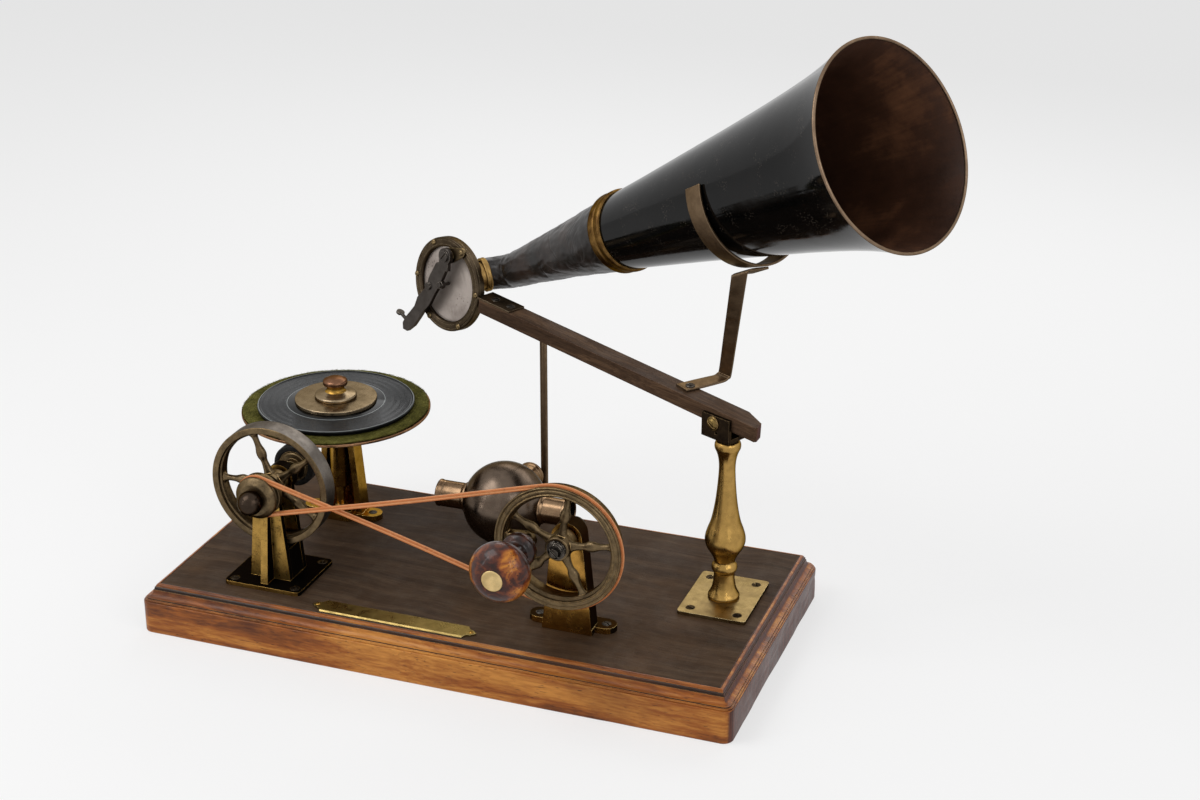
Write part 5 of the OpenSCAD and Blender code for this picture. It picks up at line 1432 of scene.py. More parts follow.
@dataclass
class CrankGroup(SubAssembly):
    """The crank wheel with its stand, hub screw and turned wooden handle."""

    front_y: float = -91
    width: float = 17
    throw: float = 25.5
    lug_r: float = 7
    lug_t: float = 7
    lug_z: float = 2.4
    lug_boss: float = 5.4
    collar_r: float = 13
    collar_t: float = 8
    knob_y: float = -136.4
    knob_r: float = 22.8
    knob_flat: float = 15.4
    waist_r: float = 8.2
    cap_r: float = 8.2

    @property
    def handle(self) -> Axes:
        """Frame of the handle: z runs to the back from the middle of the knob."""
        return along_y(LAYOUT.crank_x - self.throw, self.knob_y, LAYOUT.shaft_z)

    def build(self) -> None:
        """Builds the wheel, the stand and the handle."""
        wheel = CastWheel(LAYOUT.crank_x, self.front_y, self.width, 6.6, 2.2, -8, 4.4,
                          grooved=True, hub_extra=1.5)
        casting = joined(wheel.casting(), *self.lug())
        self.make("crank_casting", "drive_wheel", casting, "old_bronze", "old_bronze")
        self.wear("crank_stand", 0.5, "filed_brass")
        self.wear("ear_screws", 0.15)
        centre = wheel.axes.origin
        self.wear("hub_screw", 0.2, "blackened_screw", "dark_steel",
                  paint=lambda at: np.hypot(at[:, 0] - centre[0], at[:, 2] - centre[2]) < 3.5)
        self.wear("handle_pin", 0.15)
        self.wear("crank_collar", 0.3)
        self.keep("crank_shaft", "crank_bush")
        self.knob()

    def lug(self) -> tuple[Patch, Patch]:
        """Lug that carries the handle's pin: an arm from the rim, and a round boss.

        The arm's outline is a half circle about the pin and two straight sides to the rim, drawn in
        a little where it nears its flat faces.
        """
        r, t = self.lug_r, self.lug_t
        axes = along_y(LAYOUT.crank_x - self.throw, self.front_y + self.lug_z, LAYOUT.shaft_z)
        tail = -(LAYOUT.wheel_r - 7.6 - self.throw)
        outline = np.concatenate([arc(0, 0, r, -90, 90, 17), [[tail, 0.8 * r], [tail, -0.8 * r]]])
        levels = np.array([[0.93, 0], [0.98, 0.05], [1, 0.14], [1, 0.86], [0.98, 0.95], [0.93, 1]])
        flat = levels[:, :1, None] * outline[None]
        heights = np.broadcast_to(levels[:, 1:, None] * t, (*flat.shape[:2], 1))
        arm = grid_patch(axes.place(np.concatenate([flat, heights], -1)), False, True, capped=True)
        length = self.lug_boss + 4
        boss = eased([[0, 0], [r - 0.5, 0], [r - 0.5, length], [0, length]], 0.7)
        return arm, turned(boss, axes.moved(z=-self.lug_z - self.lug_boss), 48)

    def knob(self) -> None:
        """Turned handle: collar, waist and a flattened ball, with a brass cap let into its front."""
        collar = self.front_y - self.lug_boss - 0.3 - self.knob_y
        r, t, waist = self.collar_r, self.collar_t, self.waist_r
        neck = flowing([[0.62 * r, collar], [r - 1.0, collar - 0.15], [r, collar - 1.8],
                        [r - 0.1, collar - t + 2.2], [r - 1.8, collar - t + 0.2],
                        [waist + 0.7, collar - t - 1.6], [waist, collar - t - 6]], 5)
        bow = np.linspace(math.radians(25), math.radians(146), 40)
        ball = np.stack([self.knob_r * np.sin(bow), (self.knob_flat + 2.3) * np.cos(bow)], 1)
        flat = -self.knob_flat
        seat = [[self.cap_r + 1.4, flat], [self.cap_r + 0.1, flat],
                [self.cap_r + 0.05, flat + 1.6], [0, flat + 1.6]]
        profile = np.concatenate([[[0, collar]], neck, ball, seat])
        wood = turned(profile, self.handle, 112)
        strips = len(profile) - 1
        wood.finishes = np.repeat(np.arange(strips) < len(neck) + 1, len(wood.quads) // strips) * 1
        self.make("turned_handle", "handle_knob", wood, "knob_wood", "collar_wood", sharp=45)
        cap = eased([[0, -0.4], [self.cap_r - 0.8, -0.4], [self.cap_r, 0.1],
                     [self.cap_r, 1.5], [0, 1.5]], 0.3)
        self.make("handle_cap", "knob_cap", turned(cap, self.handle.moved(z=flat), 64), "matt_cap")


@dataclass
class Belt(SubAssembly):
    """Crossed leather belt: two strands that pass each other and a bend around each wheel."""

    thick: float = 3.5
    side_step: float = 2.1
    strand_steps: int = 70
    wheel_steps: int = 90
    pulley_steps: int = 48

    def path(self) -> Array:
        """Centre line of the belt.

        The strands run straight between the two wheels' tangent points and bow sideways by a sine
        squared, and the bends are arcs of the wheels' belt radii.
        """
        gap = LAYOUT.crank_x - LAYOUT.flywheel_x
        big, small = LAYOUT.wheel_belt_r, LAYOUT.pulley_belt_r
        lean = math.asin((big + small) / gap)
        leave = np.array([small * math.sin(lean), small * math.cos(lean)])
        arrive = np.array([gap - big * math.sin(lean), -big * math.cos(lean)])
        swept = math.pi + 2 * lean
        parts = [self.strand(leave, arrive, 1),
                 self.bend(gap, big, 1.5 * math.pi - lean, swept, self.wheel_steps),
                 self.strand(arrive * [1, -1], leave * [1, -1], -1),
                 self.bend(0, small, lean - math.pi / 2, -swept, self.pulley_steps)]
        return np.concatenate(parts) + [LAYOUT.flywheel_x, LAYOUT.belt_y, LAYOUT.shaft_z]

    def strand(self, start: Array, stop: Array, side: int) -> Array:
        """One straight strand, bowed to its side so that the two clear each other."""
        u = np.linspace(0, 1, self.strand_steps, endpoint=False)[:, None]
        line = start + (stop - start) * u
        bow = side * self.side_step * np.sin(math.pi * u) ** 2
        return np.concatenate([line[:, :1], bow, line[:, 1:]], 1)

    def bend(self, x: float, radius: float, start: float, swept: float, steps: int) -> Array:
        """One bend around a wheel."""
        angle = start + swept * np.linspace(0, 1, steps, endpoint=False)
        return np.stack([x + radius * np.cos(angle), 0 * angle, radius * np.sin(angle)], 1)

    def build(self) -> None:
        """Builds the belt: a squarish thong with a shallow crease along its front and back."""
        turn, half = ring(32), self.thick / 2
        square = (np.abs(np.cos(turn)) ** 4 + np.abs(np.sin(turn)) ** 4) ** -0.25
        crease = 1 - 0.2 * np.exp(-((np.sin(turn) / 0.24) ** 2))
        section = np.stack([half * 0.94 * square * crease * np.cos(turn), half * square * np.sin(turn)], -1)
        belt = carried(self.path(), section, np.array([0, 1.0, 0]), loop=True)
        self.make("leather_belt", "drive_belt", belt, sharp=80)


@dataclass
class Turntable(SubAssembly):
    """Stand and sleeve, platter, fuzzy felt, record, and the clamp that holds it down."""

    platter_z: float = 134.4
    platter_r: float = 76.3
    platter_t: float = 2.2
    felt_t: float = 1.8
    record_r: float = 63.5
    record_t: float = 3.8
    land_r: float = 39.6
    groove_dip: float = 0.35
    clamp_r: float = 33.3
    clamp_t: float = 3.5
    sleeve_r: float = 7.4
    sleeve_l: float = 67.2
    pin_r: float = 3.0
    fibres: int = 6000
    fibre_length: float = 1.3
    fibre_r: float = 0.055

    @property
    def felt_z(self) -> float:
        """Height of the felt's underside."""
        return self.platter_z + self.platter_t

    @property
    def record_z(self) -> float:
        """Height of the record's underside."""
        return self.felt_z + self.felt_t

    def axes(self, z: float) -> Axes:
        """Frame on the turntable's axis at a height."""
        return upright_at(LAYOUT.flywheel_x, LAYOUT.spindle_y, z)

    def build(self) -> None:
        """Builds the turntable from its stand to the clamp."""
        self.wear("turntable_stand", 0.5)
        self.keep("spindle_post")
        s, pin = self.sleeve_r, self.pin_r
        sleeve = eased([[0, -self.sleeve_l], [s, -self.sleeve_l], [s, -1.4], [s + 5, -1.4],
                        [s + 5, 0], [pin, 0], [pin, 21], [0, 21]], 0.5)
        self.make("bearing_sleeve", "platter_hub", turned(sleeve, self.axes(self.platter_z), 64))
        r, t = self.platter_r, self.platter_t
        plate = eased([[pin, 0], [r, 0], [r, t], [pin, t]], 0.5, 4, loop=True)
        self.make("turned_platter", "platter", turned(plate, self.axes(self.platter_z), 160, loop=True))
        self.make("wool_felt", "felt_mat", joined(self.felt(), self.fuzz()), sharp=80)
        self.record()
        self.clamp()

    def edge_of_felt(self, angle: Array) -> Array:
        """Radius of the felt's cut edge: a circle with slow waves and small bites."""
        wave = 0.25 * ripples(angle, 0 * angle, 11, 12, 1.0)
        bites = 0.22 * ripples(angle, 0 * angle, 12, 40, 9.0)
        return self.platter_r - 1.1 + np.clip(wave + bites, -0.9, 0.6)

    def felt(self) -> Patch:
        """Felt as rings of points: a lumpy top, a soft uneven edge and a flat underside."""
        angle = ring(480)[None, :]
        edge = self.edge_of_felt(angle)
        shares = np.concatenate([np.linspace(0.04, 0.8, 12), np.linspace(0.83, 0.985, 8)])[:, None]
        lumps = 0.16 * ripples(angle, 40 * shares, 13, 60, 6.0)
        top = self.felt_t - 0.35 + np.clip(lumps, -0.3, 0.3)
        bulge = [(0.996, 0.72), (1.0, 0.45), (0.997, 0.2), (0.985, 0.03), (0.04, 0.03)]
        rows = np.concatenate([
            np.stack([shares * edge, top], -1),
            *(np.stack([share * edge, np.full_like(edge, level * self.felt_t)], -1)
              for share, level in bulge)])
        flat = rows[..., :1] * circle(angle)
        grid = self.axes(self.felt_z).place(np.concatenate([flat, rows[..., 1:]], -1))
        return grid_patch(grid, True, True)

    def fuzz(self) -> Patch:
        """Thousands of short bent fibres, each a closed tube of four sides that tapers to its tip.

        Most stand out of the cut edge and lean up or along it, and the rest lie on the rim of the
        top that the record leaves bare.
        """
        chance = np.random.default_rng(21)
        n, length = self.fibres, self.fibre_length
        angle = chance.uniform(0, TAU, n)
        on_edge = chance.uniform(0, 1, n) < 0.55
        bare = chance.uniform(self.record_r, self.platter_r - 2, n)
        radius = np.where(on_edge, self.edge_of_felt(angle), bare)
        height = np.where(on_edge, chance.uniform(0.25, 1.5, n), self.felt_t - 0.3)
        out = np.stack([np.cos(angle), np.sin(angle), 0 * angle], -1)
        along = np.stack([-np.sin(angle), np.cos(angle), 0 * angle], -1)
        lean = chance.normal(0, 1, (n, 3)) * [0.5, 0.9, 0.35]
        level = np.where(on_edge, 0.45, chance.normal(0, 0.3, n))[:, None]
        ahead = unit(out * (level + 0.4 * lean[:, :1]) + along * lean[:, 1:2]
                     + [0, 0, 1] * np.abs(lean[:, 2:]))
        bend = chance.normal(0, 0.35, (n, 3))
        reach = length * chance.uniform(0.35, 1.0, n)[:, None]
        u = np.array([-0.15, 0.35, 0.7, 1.0])[:, None, None]
        centre = out * radius[:, None] + [0, 0, 1] * height[:, None]
        path = centre + reach * (u * ahead + 0.35 * u**2 * bend)
        path[..., 2] = np.clip(path[..., 2], 0.15, self.felt_t + 0.5)
        far = np.linalg.norm(path[..., :2], axis=-1, keepdims=True)
        path[..., :2] *= np.minimum(1, (self.platter_r - 0.15) / far)
        side = unit(np.cross(ahead, [0.3, 0.2, 0.93]))
        rise = np.cross(ahead, side)
        thick = self.fibre_r * np.array([1.0, 0.9, 0.65, 0.25])[:, None, None]
        corners = [side, rise, -side, -rise]
        grid = np.stack([path + thick * c for c in corners], axis=2)
        points = grid.transpose(1, 0, 2, 3).reshape(-1, 3)
        one = grid_patch(np.zeros((4, 4, 3)), False, True).quads
        one = np.concatenate([one, [[3, 2, 1, 0], [12, 13, 14, 15]]])
        quads = (one[None] + 16 * np.arange(n)[:, None, None]).reshape(-1, 4)
        place = self.axes(self.felt_z).place(points)
        return Patch(place, quads, np.zeros((len(quads), 4, 2)))

    def record(self) -> None:
        """Record with its edge bead, its sunken grooves and the bare land in the middle."""
        r, t, low = self.record_r, self.record_t, self.record_t - self.groove_dip
        wide = np.linspace(r - 2.9, self.land_r + 0.7, 60)
        turns = low + 0.05 * np.sin(wide / 0.9)
        profile = np.concatenate([
            eased([[self.pin_r, 0], [r - 0.8, 0], [r, 0.9], [r, t - 0.9],
                   [r - 0.8, t], [r - 2.2, t], [r - 2.8, low]], 0.5),
            np.stack([wide, np.minimum(turns, t)], 1), [[self.land_r, t], [self.pin_r, t]]])
        self.make("pressed_record", "record_disc", turned(profile, self.axes(self.record_z), 192, loop=True),
                  sharp=40)

    def clamp(self) -> None:
        """Clamp disc with its rounded edge, and the knob above it."""
        z = self.record_z + self.record_t
        r, t = self.clamp_r, self.clamp_t
        bore = self.pin_r + 0.2
        disc = eased([[bore, 0], [r - 0.4, 0], [r, 0.5], [r, t - 0.5],
                      [r - 0.4, t], [bore, t]], 0.35, 4, loop=True)
        self.make("turned_clamp", "clamp_disc", turned(disc, self.axes(z), 128, loop=True))
        outline = [
            [0, 0], [17, 0], [17, 2.2], [16.2, 3], [11.5, 4], [8.6, 5], [7.4, 6.2], [7, 7.6], [7, 9.4],
            [7.6, 10.2], [9.4, 10.6], [9.9, 11.4], [9.9, 14], [9.2, 15], [5.6, 16.6], [0, 17.4]]
        body = turned(eased(outline, 0.7), self.axes(z + t), 96)
        height = body.points[body.quads].mean(1)[:, 2] - z - t
        body.finishes = (height > 5).astype(np.int64) + (height > 11.2)
        self.make("clamp_grip", "clamp_knob", body, "pale_brass", "stem_brass", "grip_top")


@dataclass
class SoundingBall(SubAssembly):
    """Hollow ball with three short tubes, on its foot, and the rod on which the arm rests."""

    ball_y: float = 44
    ball_z: float = 76.5
    ball_r: float = 33.9
    tube_r: float = 10.8
    tube_wall: float = 1.4
    reach: float = 57

    def build(self) -> None:
        """Builds the tubes and keeps the ball, its foot and the rod."""
        self.keep("sounding_ball", "ball_foot")
        tubes = joined(*(self.tube(turn) for turn in (0, 90, 180)))
        self.make("mouth_tubes", "ball_tubes", tubes, "tube_brass")
        self.keep("rest_rod")

    def tube(self, turn: float) -> Patch:
        """One tube: open right through, with a solder fillet at the ball and a rolled lip."""
        r, start, end = self.tube_r, self.ball_r - 5.2, self.reach
        seat = math.sqrt(self.ball_r**2 - r**2)
        inner = r - self.tube_wall
        profile = [[inner, start], [r, start], [r, seat - 1], [r + 1.5, seat - 0.6],
                   [r + 1.3, seat + 1.2], [r + 0.4, seat + 2.4], [r, seat + 3],
                   [r, end - 6], [r - 0.35, end - 5.7], [r, end - 5.4], [r, end - 2.2],
                   [r + 0.4, end - 1.6], [r + 0.4, end - 0.4], [r, end],
                   [inner + 0.3, end], [inner, end - 0.6]]
        axes = upright_at(0, self.ball_y, self.ball_z).turned("z", turn).turned("y", 90)
        return turned(eased(profile, 0.5, 4, loop=True), axes, 72, loop=True)


class Arm(SubAssembly):
    """Wooden arm in its fork, with its plate and screws."""

    def build(self) -> None:
        """Builds the arm and what holds it."""
        self.wear("swivel_fork", 0.4, "fork_bronze")
        self.wear("pivot_bolt", 0.2, "bolt_brass")
        self.wear("arm_bar", 0.9, "arm_walnut")
        self.wear("arm_plate", 0.3, "plate_bronze")
        self.wear("arm_screws", 0.15)


@dataclass
class SoundBox(SubAssembly):
    """Round box with its diaphragm, clamped ring, screws, stylus bar and thumb screw."""

    ring_r: float = 39.5
    open_r: float = 31.5
    ring_t: float = 2.6
    seat_r: float = 33.9
    gasket_t: float = 0.75
    diaphragm_t: float = 0.55

    def build(self) -> None:
        """Builds the box from its front ring to the needle's screw."""
        axes, r, inner, t = LAYOUT.box, self.ring_r, self.open_r, self.ring_t
        face = eased([[inner, -t], [r, -t], [r, -0.7], [r - 0.7, 0], [r - 1.9, 0], [r - 2.2, -0.35],
                      [r - 2.5, 0], [inner + 2.6, 0], [inner + 2.3, -0.3], [inner + 2.0, 0],
                      [inner + 1.4, 0], [inner, -1]], 0.2, 3, loop=True)
        self.make("face_ring", "sound_box_ring", turned(face, axes, 144, loop=True), "box_bronze")
        self.wear("sound_box_case", 0.5, "box_bronze")
        self.diaphragm(axes)
        self.keep("gaskets")
        self.wear("sound_box_screws", 0.15, "domed_screw")
        self.wear("stylus_bracket", 0.3, "bracket_brass")
        self.wear("stylus_bar", 0.5, "stylus_steel")
        self.wear("needle_screw", 0.25)

    def diaphragm(self, axes: Axes) -> None:
        """Thin disc with a few faint rings pressed into it."""
        r, t = self.seat_r - 0.2, self.diaphragm_t
        top = -self.ring_t - self.gasket_t - 0.05
        across = np.linspace(0, 1, 60)
        rings = 0.09 * np.cos(across * 9 * math.pi) * (across > 0.55) * (across < 0.92)
        front = np.stack([across * r, top - 0.1 + rings], 1)
        back = [[r, top - t], [0, top - t]]
        self.make("pressed_diaphragm", "diaphragm", turned(np.concatenate([front, back]), axes, 96))


@dataclass
class Horn(SubAssembly):
    """Horn with its elbow, wrinkled neck, brass bands, flared bell, rolled rim and straps."""

    length: float = 474.4
    throat_r: float = 30.2
    mouth_r: float = 74.4
    sheet: float = 1.0
    neck_r: float = 14
    outlet_r: float = 11.5
    outlet_reach: float = 26.5
    box_depth: float = 7
    ring_place: tuple[float, float, float] = (4.3, 14.65, 32.8)
    ring_ahead: tuple[float, float, float] = (-0.061, -0.923, 0.379)
    bend_end: float = 54.6
    bend_r: float = 13.3
    bell_start: float = 194.7
    ring_start: float = 188.5
    ring_w: float = 14.5
    rim_r: float = 1.2
    cradle_at: float = 329.3
    cradle_w: float = 17.4
    cradle_slack: float = 1.6
    cradle_drop: float = 3.6
    cradle_arc: float = 112.0
    strap_w: float = 13
    strap_t: float = 2
    strap_rise: float = 0.1

    def bell_radius(self, d: Array) -> Array:
        """Outer radius of the bell at a distance along the axis.

        With u from 0 at the throat to 1 at the mouth, it is the throat's radius plus the growth
        times 0.772u + 0.088u² + 0.14u⁹, which flares only near the mouth.
        """
        u = (d - self.bell_start) / (self.length - self.bell_start)
        start = self.throat_r - 0.6
        return start + (self.mouth_r - start) * (0.772 * u + 0.088 * u**2 + 0.14 * u**9)

    def neck_radius(self, d: Array) -> Array:
        """Outer radius of the neck: with u from 0 to 1, it grows with u²(1.66 - 0.66u)."""
        start = 17.5
        u = (d - start) / (LAYOUT.neck_end - start)
        return self.neck_r + (self.throat_r + 0.4 - self.neck_r) * u**2 * (1.66 - 0.66 * u)

    def build(self) -> None:
        """Builds the horn from the elbow to the rim, with the straps that carry it."""
        self.elbow()
        self.neck()
        self.bands()
        self.bell()
        self.cradle()
        self.strut()

    def elbow(self) -> None:
        """Outlet of the sound box, and the brass ring in which the neck starts."""
        neck, box = LAYOUT.neck, LAYOUT.box
        place, ahead = neck.place(np.array(self.ring_place)), neck.turn @ unit(np.array(self.ring_ahead))
        seen = (place - box.origin) @ box.turn
        seen[:2] *= min(1, self.outlet_reach / float(np.hypot(*seen[:2])))
        seat = box.place(np.array([seen[0], seen[1], -self.box_depth]))
        path = curve_between(seat, -box.turn[:, 2], ahead, place, 0.3, 12)
        tube = carried(path, self.outlet_r * circle(ring(48)), neck.turn[:, 0])
        side = unit(np.cross(ahead, np.cross(neck.turn[:, 0], ahead)))
        axes = Axes(place, np.stack([side, np.cross(ahead, side), ahead], 1))
        section = [[12, -2.2], [13.9, -2.2], [14.3, -1.5], [14.1, 0], [14.3, 1.5], [14.1, 2.3], [12, 2.3]]
        band = turned(eased(section, 0.5, 3, loop=True), axes, 96, loop=True)
        self.make("ringed_elbow", "horn_elbow", joined(tube, band), "elbow_brass")

    def neck(self) -> None:
        """Neck of thin sheet that bends out of its ring, with slow dents and closer wrinkles."""
        bend = curve_between(np.array(self.ring_place), np.array(self.ring_ahead), np.array([0, 0, 1.0]),
                             np.array([0, 0, self.bend_end]), 0.36, 26)
        d = np.linspace(self.bend_end, LAYOUT.neck_end, 76)
        path = np.concatenate([bend[:-1], np.stack([0 * d, 0 * d, d], 1)])
        run = np.cumsum(np.linalg.norm(np.diff(path, axis=0, prepend=path[:1]), axis=1))
        height = (run + LAYOUT.neck_end - run[-1])[:, None]
        share = np.clip(run / run[len(bend) - 1], 0, 1)
        wide = self.neck_radius(self.bend_end)
        bent = self.bend_r + (wide - self.bend_r) * share
        radius = np.where(share < 1, bent, self.neck_radius(path[:, 2]))
        angle = ring(144)[None, :]
        place = height / 26
        slow, quick = ripples(angle, place, 31, 10, 0.4), ripples(angle, place, 32, 36, 2.6)
        fold = np.exp(-(((height - self.bend_end - 2 * np.sin(2 * angle)) / 2.2) ** 2))
        dents = np.clip(0.45 + 0.22 * slow + 0.13 * quick + 0.7 * fold, 0, 1.3)
        dented = radius[:, None] - np.minimum(run[:, None] / 8, 1) * dents
        ahead = unit(np.gradient(path, axis=0))
        side = unit(np.cross(ahead, np.cross([1.0, 0, 0], ahead)))
        rise = np.cross(ahead, side)
        spoke = np.cos(angle)[..., None] * side[:, None] + np.sin(angle)[..., None] * rise[:, None]
        inner = (radius - 1.4 * self.sheet)[:, None]
        grid = np.concatenate([path[:, None] + dented[..., None] * spoke,
                               (path[:, None] + np.minimum(inner, dented)[..., None] * spoke)[::-1]])
        self.make("hammered_neck", "horn_neck", grid_patch(LAYOUT.neck.place(grid), True, True), sharp=70)

    def bands(self) -> None:
        """Double brass band at the throat, and the wire rolled into the mouth's edge."""
        start, end, r = self.ring_start, self.ring_start + self.ring_w, self.throat_r
        end_r = self.bell_radius(np.array(end)) + 0.12
        rise = np.array([[0.05, 0], [1.2, 0.3], [1.75, 1.6], [1.8, 4], [1.75, 6.2], [1.2, 7.3],
                         [1.15, 8.0], [2.1, 8.7], [2.35, 10.4], [2.4, 12.8]]) + [r, start]
        inner = [[end_r + 0.85, end - 0.4], [end_r, end], [r + 0.65, self.bell_start + 6.5],
                 [r + 0.62, LAYOUT.neck_end + 0.2]]
        band = eased(np.concatenate([rise, inner]), 0.5, 4, loop=True)
        self.make("throat_band", "horn_ring", turned(band, LAYOUT.horn, 128, loop=True), "aged_band")
        wire = self.rim_r * circle(ring(20)) + [self.mouth_r - 0.5, self.length - 0.1 + self.rim_r]
        rim = turned(wire, LAYOUT.horn, 256, loop=True)
        self.make("rolled_rim", "horn_rim", rim, "dull_rim", sharp=80)

    def bell(self) -> None:
        """Bell of thin sheet, black outside and bare inside, very slightly out of round."""
        d = np.concatenate([np.linspace(self.bell_start, self.length - 60, 60, endpoint=False),
                            np.linspace(self.length - 60, self.length, 40)])
        outer = self.bell_radius(d)
        profile = np.concatenate([np.stack([outer, d], 1), np.stack([outer - self.sheet, d], 1)[::-1]])

        def waves(radius: Array, height: Array, angle: Array) -> Array:
            """Slow waves that only draw the sheet in, and fade at both ends."""
            u = (height - self.bell_start) / (self.length - self.bell_start)
            fade = np.clip(6 * u, 0, 1) * np.clip(8 * (1 - u), 0, 1)
            return -fade * np.clip(0.12 + 0.07 * ripples(angle, 4 * u, 33, 12, 0.4), 0, 0.4)

        patch = turned(profile, LAYOUT.horn, 192, True, waves)
        row = np.repeat(np.arange(len(profile)), 192)
        patch.finishes = (row >= len(d) - 1).astype(np.int64)
        self.make("flared_bell", "horn_bell", patch, "horn_lacquer", "bare_inside", sharp=70)

    def cradle(self) -> None:
        """Strap bent around the underside of the bell, with eased edges."""
        inner = float(self.bell_radius(np.array(self.cradle_at))) + self.cradle_slack
        slope = float(np.diff(self.bell_radius(np.array([self.cradle_at, self.cradle_at + 1])))[0])
        grow, w, t = slope * self.cradle_w / 2, self.cradle_w / 2, self.strap_t
        section = eased([[inner - grow, -w], [inner - grow + t, -w], [inner + grow + t, w],
                         [inner + grow, w]], 0.55, 4, loop=True)
        angle = np.radians(180 + np.linspace(-self.cradle_arc, self.cradle_arc, 90))[:, None]
        radius = np.broadcast_to(section[:, 0], (90, len(section)))
        grid = np.stack([radius * np.cos(angle), radius * np.sin(angle),
                         np.broadcast_to(section[:, 1], radius.shape)], -1)
        axes = LAYOUT.horn.moved(x=-self.cradle_drop, z=self.cradle_at)
        patch = grid_patch(axes.place(grid), False, True, capped=True)
        self.make("cradle_strap", "horn_cradle", patch, sharp=50)

    def strut(self) -> None:
        """Strap bent to a Z: a foot on the arm, a leg and a foot under the cradle.

        Its rows are a place s, t, the rise over the arm, and a turn between three directions across.
        A section point (a, b) lies a along the direction across, which isn't squared to the path, and
        b along the direction square to both.
        """
        rows = np.array([
            [46, 2.6, 0, 0], [44.2, -6, 0, 0], [42.6, -14, 0, 0], [40.4, -25, 0, 0.4],
            [38.8, -31.6, 0.3, 0.8], [38, -35, 1.8, 1], [37.2, -36.4, 4.8, 1], [26.6, -28.6, 35, 1.33],
            [15.7, -20.6, 66, 1.66], [4.9, -12.6, 96.4, 2], [4.2, -12.4, 98.8, 2],
            [2.8, -13.4, 100.35, 2], [1.4, -16, 100.75, 2], [0.2, -20, 100.55, 2],
            [-1.8, -28, 99.75, 2]])
        across = np.array([[0.99, -0.165, 0.06], [0.9, 0.04, 0.055], [0.98, 0.27, -0.476]])
        fine = flowing(rows, 6)
        s, turn = fine[:, 0], fine[:, 3]
        slope = math.radians(LAYOUT.arm_rise)
        base = np.maximum(s, 30) * math.tan(slope) + LAYOUT.arm_mid_z
        base = base + LAYOUT.arm_h / 2 / math.cos(slope)
        z = base + self.strap_t / 2 + self.strap_rise + fine[:, 2]
        path = np.stack([s, fine[:, 1], z], 1)
        blend = np.stack([np.interp(turn, [0, 1, 2], across[:, k]) for k in range(3)], 1)
        section = rounded_bar(self.strap_w, self.strap_t, 0.45)
        rise = unit(np.cross(blend, np.gradient(path, axis=0)))
        grid = path[:, None] + section[:, :1] * blend[:, None] + section[:, 1:] * rise[:, None]
        patch = grid_patch(LAYOUT.arm.place(grid), False, True, capped=True)
        self.make("bent_strap", "horn_strut", patch, sharp=50)


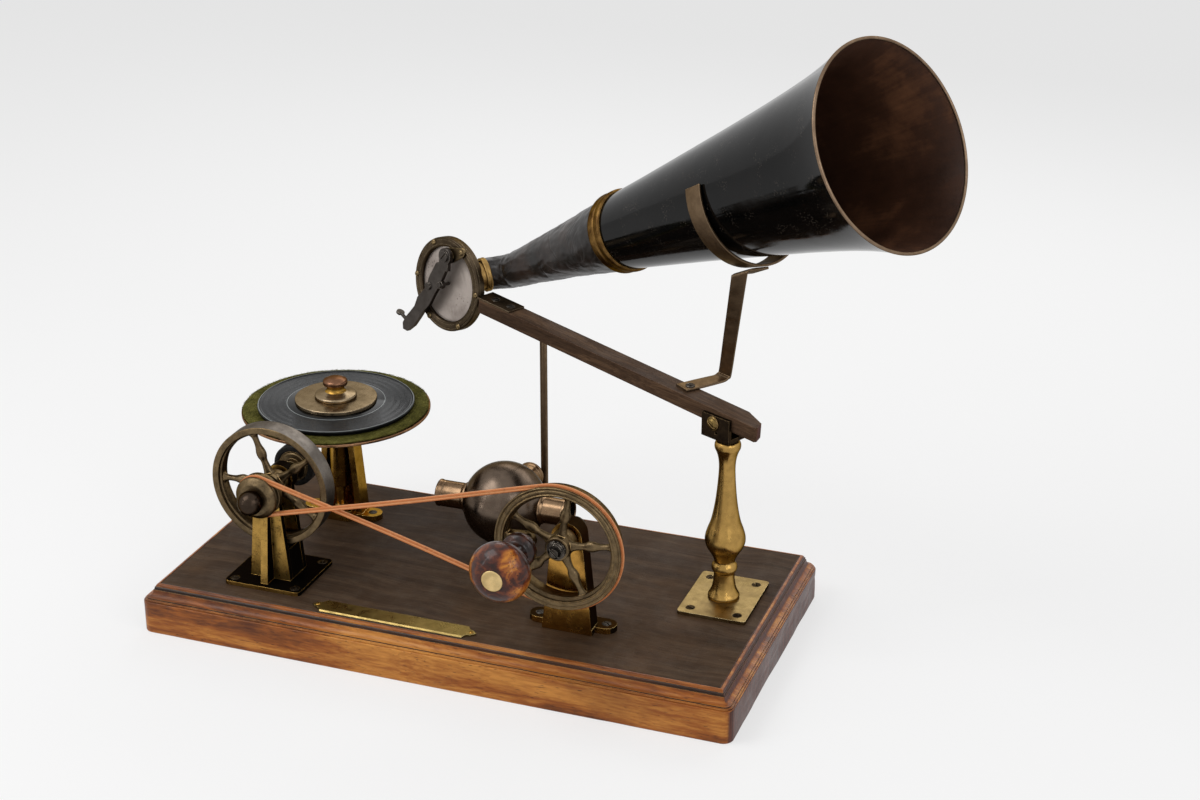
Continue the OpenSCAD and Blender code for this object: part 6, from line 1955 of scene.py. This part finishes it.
@dataclass
class Studio:
    """Plain floor, soft light and the camera of the photograph."""

    lens: float = 64.09
    eye: tuple[float, float, float] = (0.59551, -1.37429, 0.83059)
    yaw: float = 19.95
    pitch: float = 23.38
    roll: float = 0.1375
    floor_half: float = 4.0
    white: float = 0.9
    floor_glow: float = 0.6

    def build(self) -> None:
        """Sets the view, the camera, the floor, the lights and the world."""
        scene = bpy.context.scene
        scene.view_settings.view_transform = "Standard"
        scene.camera = self.camera()
        self.floor()
        self.world()
        self.lamp("key", (-0.75, -0.55, 1.35), (0.9, 0.9), 8.5)
        self.lamp("fill", (1.25, -0.5, 0.95), (0.7, 0.7), 3.0)
        self.lamp("back", (0.1, 1.2, 0.95), (1.6, 0.5), 5.0)
        self.lamp("left_strip", (-0.9, -0.9, 0.6), (0.04, 1.1), 1.2)
        self.lamp("right_strip", (0.95, -0.95, 0.75), (0.04, 1.1), 1.2)

    def camera(self) -> bpy.types.Object:
        """Camera whose axes follow from its yaw, pitch and roll."""
        data = bpy.data.cameras.new("camera")
        data.lens, data.sensor_width, data.clip_start = self.lens, 36.0, 0.05
        a, e, r = (math.radians(x) for x in (self.yaw, self.pitch, self.roll))
        back = np.array([math.sin(a) * math.cos(e), -math.cos(a) * math.cos(e), math.sin(e)])
        right = np.array([math.cos(a), math.sin(a), 0.0])
        rise = np.cross(back, right)
        right, rise = (math.cos(r) * right + math.sin(r) * rise, math.cos(r) * rise - math.sin(r) * right)
        camera = bpy.data.objects.new("camera", data)
        turn = Matrix(np.stack([right, rise, back], 1).tolist()).to_4x4()
        camera.matrix_world = Matrix.Translation(self.eye) @ turn
        bpy.context.scene.collection.objects.link(camera)
        return camera

    def floor(self) -> None:
        """Pale floor, part of it plain white to the camera and to reflections, which keeps its shadow."""
        h = self.floor_half
        mesh = bpy.data.meshes.new("floor")
        mesh.from_pydata([(-h, -h, 0), (h, -h, 0), (h, h, 0), (-h, h, 0)], [], [(0, 1, 2, 3)])
        material, g, shader = new_material("floor")
        g.put(shader.inputs["Base Color"], (self.white,) * 3)
        shader.inputs["Roughness"].default_value = 0.9
        shader.inputs["Specular IOR Level"].default_value = 0.0
        shown = g.add("ShaderNodeEmission")
        mixed = g.add("ShaderNodeMixShader")
        g.put(mixed.inputs[0], g.times(self.seen(g), self.floor_glow))
        g.put(mixed.inputs[1], shader.outputs[0])
        g.put(mixed.inputs[2], shown.outputs[0])
        g.put(g.tree.nodes["Material Output"].inputs["Surface"], mixed.outputs[0])
        mesh.materials.append(material)
        floor = bpy.data.objects.new("floor", mesh)
        bpy.context.scene.collection.objects.link(floor)

    def world(self) -> None:
        """White to the camera and to reflections, and a plain soft level on the object."""
        world = bpy.data.worlds.new("studio")
        world.use_nodes = True
        world.node_tree.nodes.clear()
        g = Graph(world.node_tree)
        light = g.add("ShaderNodeBackground")
        light.inputs["Color"].default_value = (1, 1, 1, 1)
        g.put(light.inputs["Strength"], g.remap(self.seen(g), 0.0, 1.0, 0.45, 1.0, smooth=False))
        g.put(g.add("ShaderNodeOutputWorld").inputs["Surface"], light.outputs[0])
        bpy.context.scene.world = world

    def seen(self, g: Graph) -> Socket:
        """One for rays of the camera, of reflections and of transmission, and zero for the others."""
        rays = g.add("ShaderNodeLightPath").outputs
        both = g.held("ADD", rays["Is Camera Ray"], rays["Is Glossy Ray"])
        return g.held("ADD", both, rays["Is Transmission Ray"])

    def lamp(self, name: str, place: tuple[float, float, float], size: tuple[float, float],
             power: float) -> None:
        """Soft rectangular lamp that looks at the middle of the object."""
        data = bpy.data.lights.new(name, "AREA")
        data.shape = "RECTANGLE"
        data.size, data.size_y = size
        data.energy = power
        lamp = bpy.data.objects.new(name, data)
        back = unit(np.array(place) - [0, 0, 0.15])
        right = unit(np.cross([0, 0, 1.0], back))
        turn = Matrix(np.stack([right, np.cross(back, right), back], 1).tolist()).to_4x4()
        lamp.matrix_world = Matrix.Translation(place) @ turn
        bpy.context.scene.collection.objects.link(lamp)


def save_sizes() -> None:
    """Brings the view layer up to date."""
    bpy.context.view_layer.update()


def main() -> None:
    """Builds the studio and every sub-assembly in order."""
    logging.basicConfig(level=logging.INFO, format="%(name)s: %(message)s")
    Studio().build()
    for kind in (Board, Pillar, FlywheelGroup, CrankGroup, Belt, Turntable, SoundingBall, Arm, SoundBox,
                 Horn):
        kind().build()
    save_sizes()


if __name__ == "__main__":
    main()
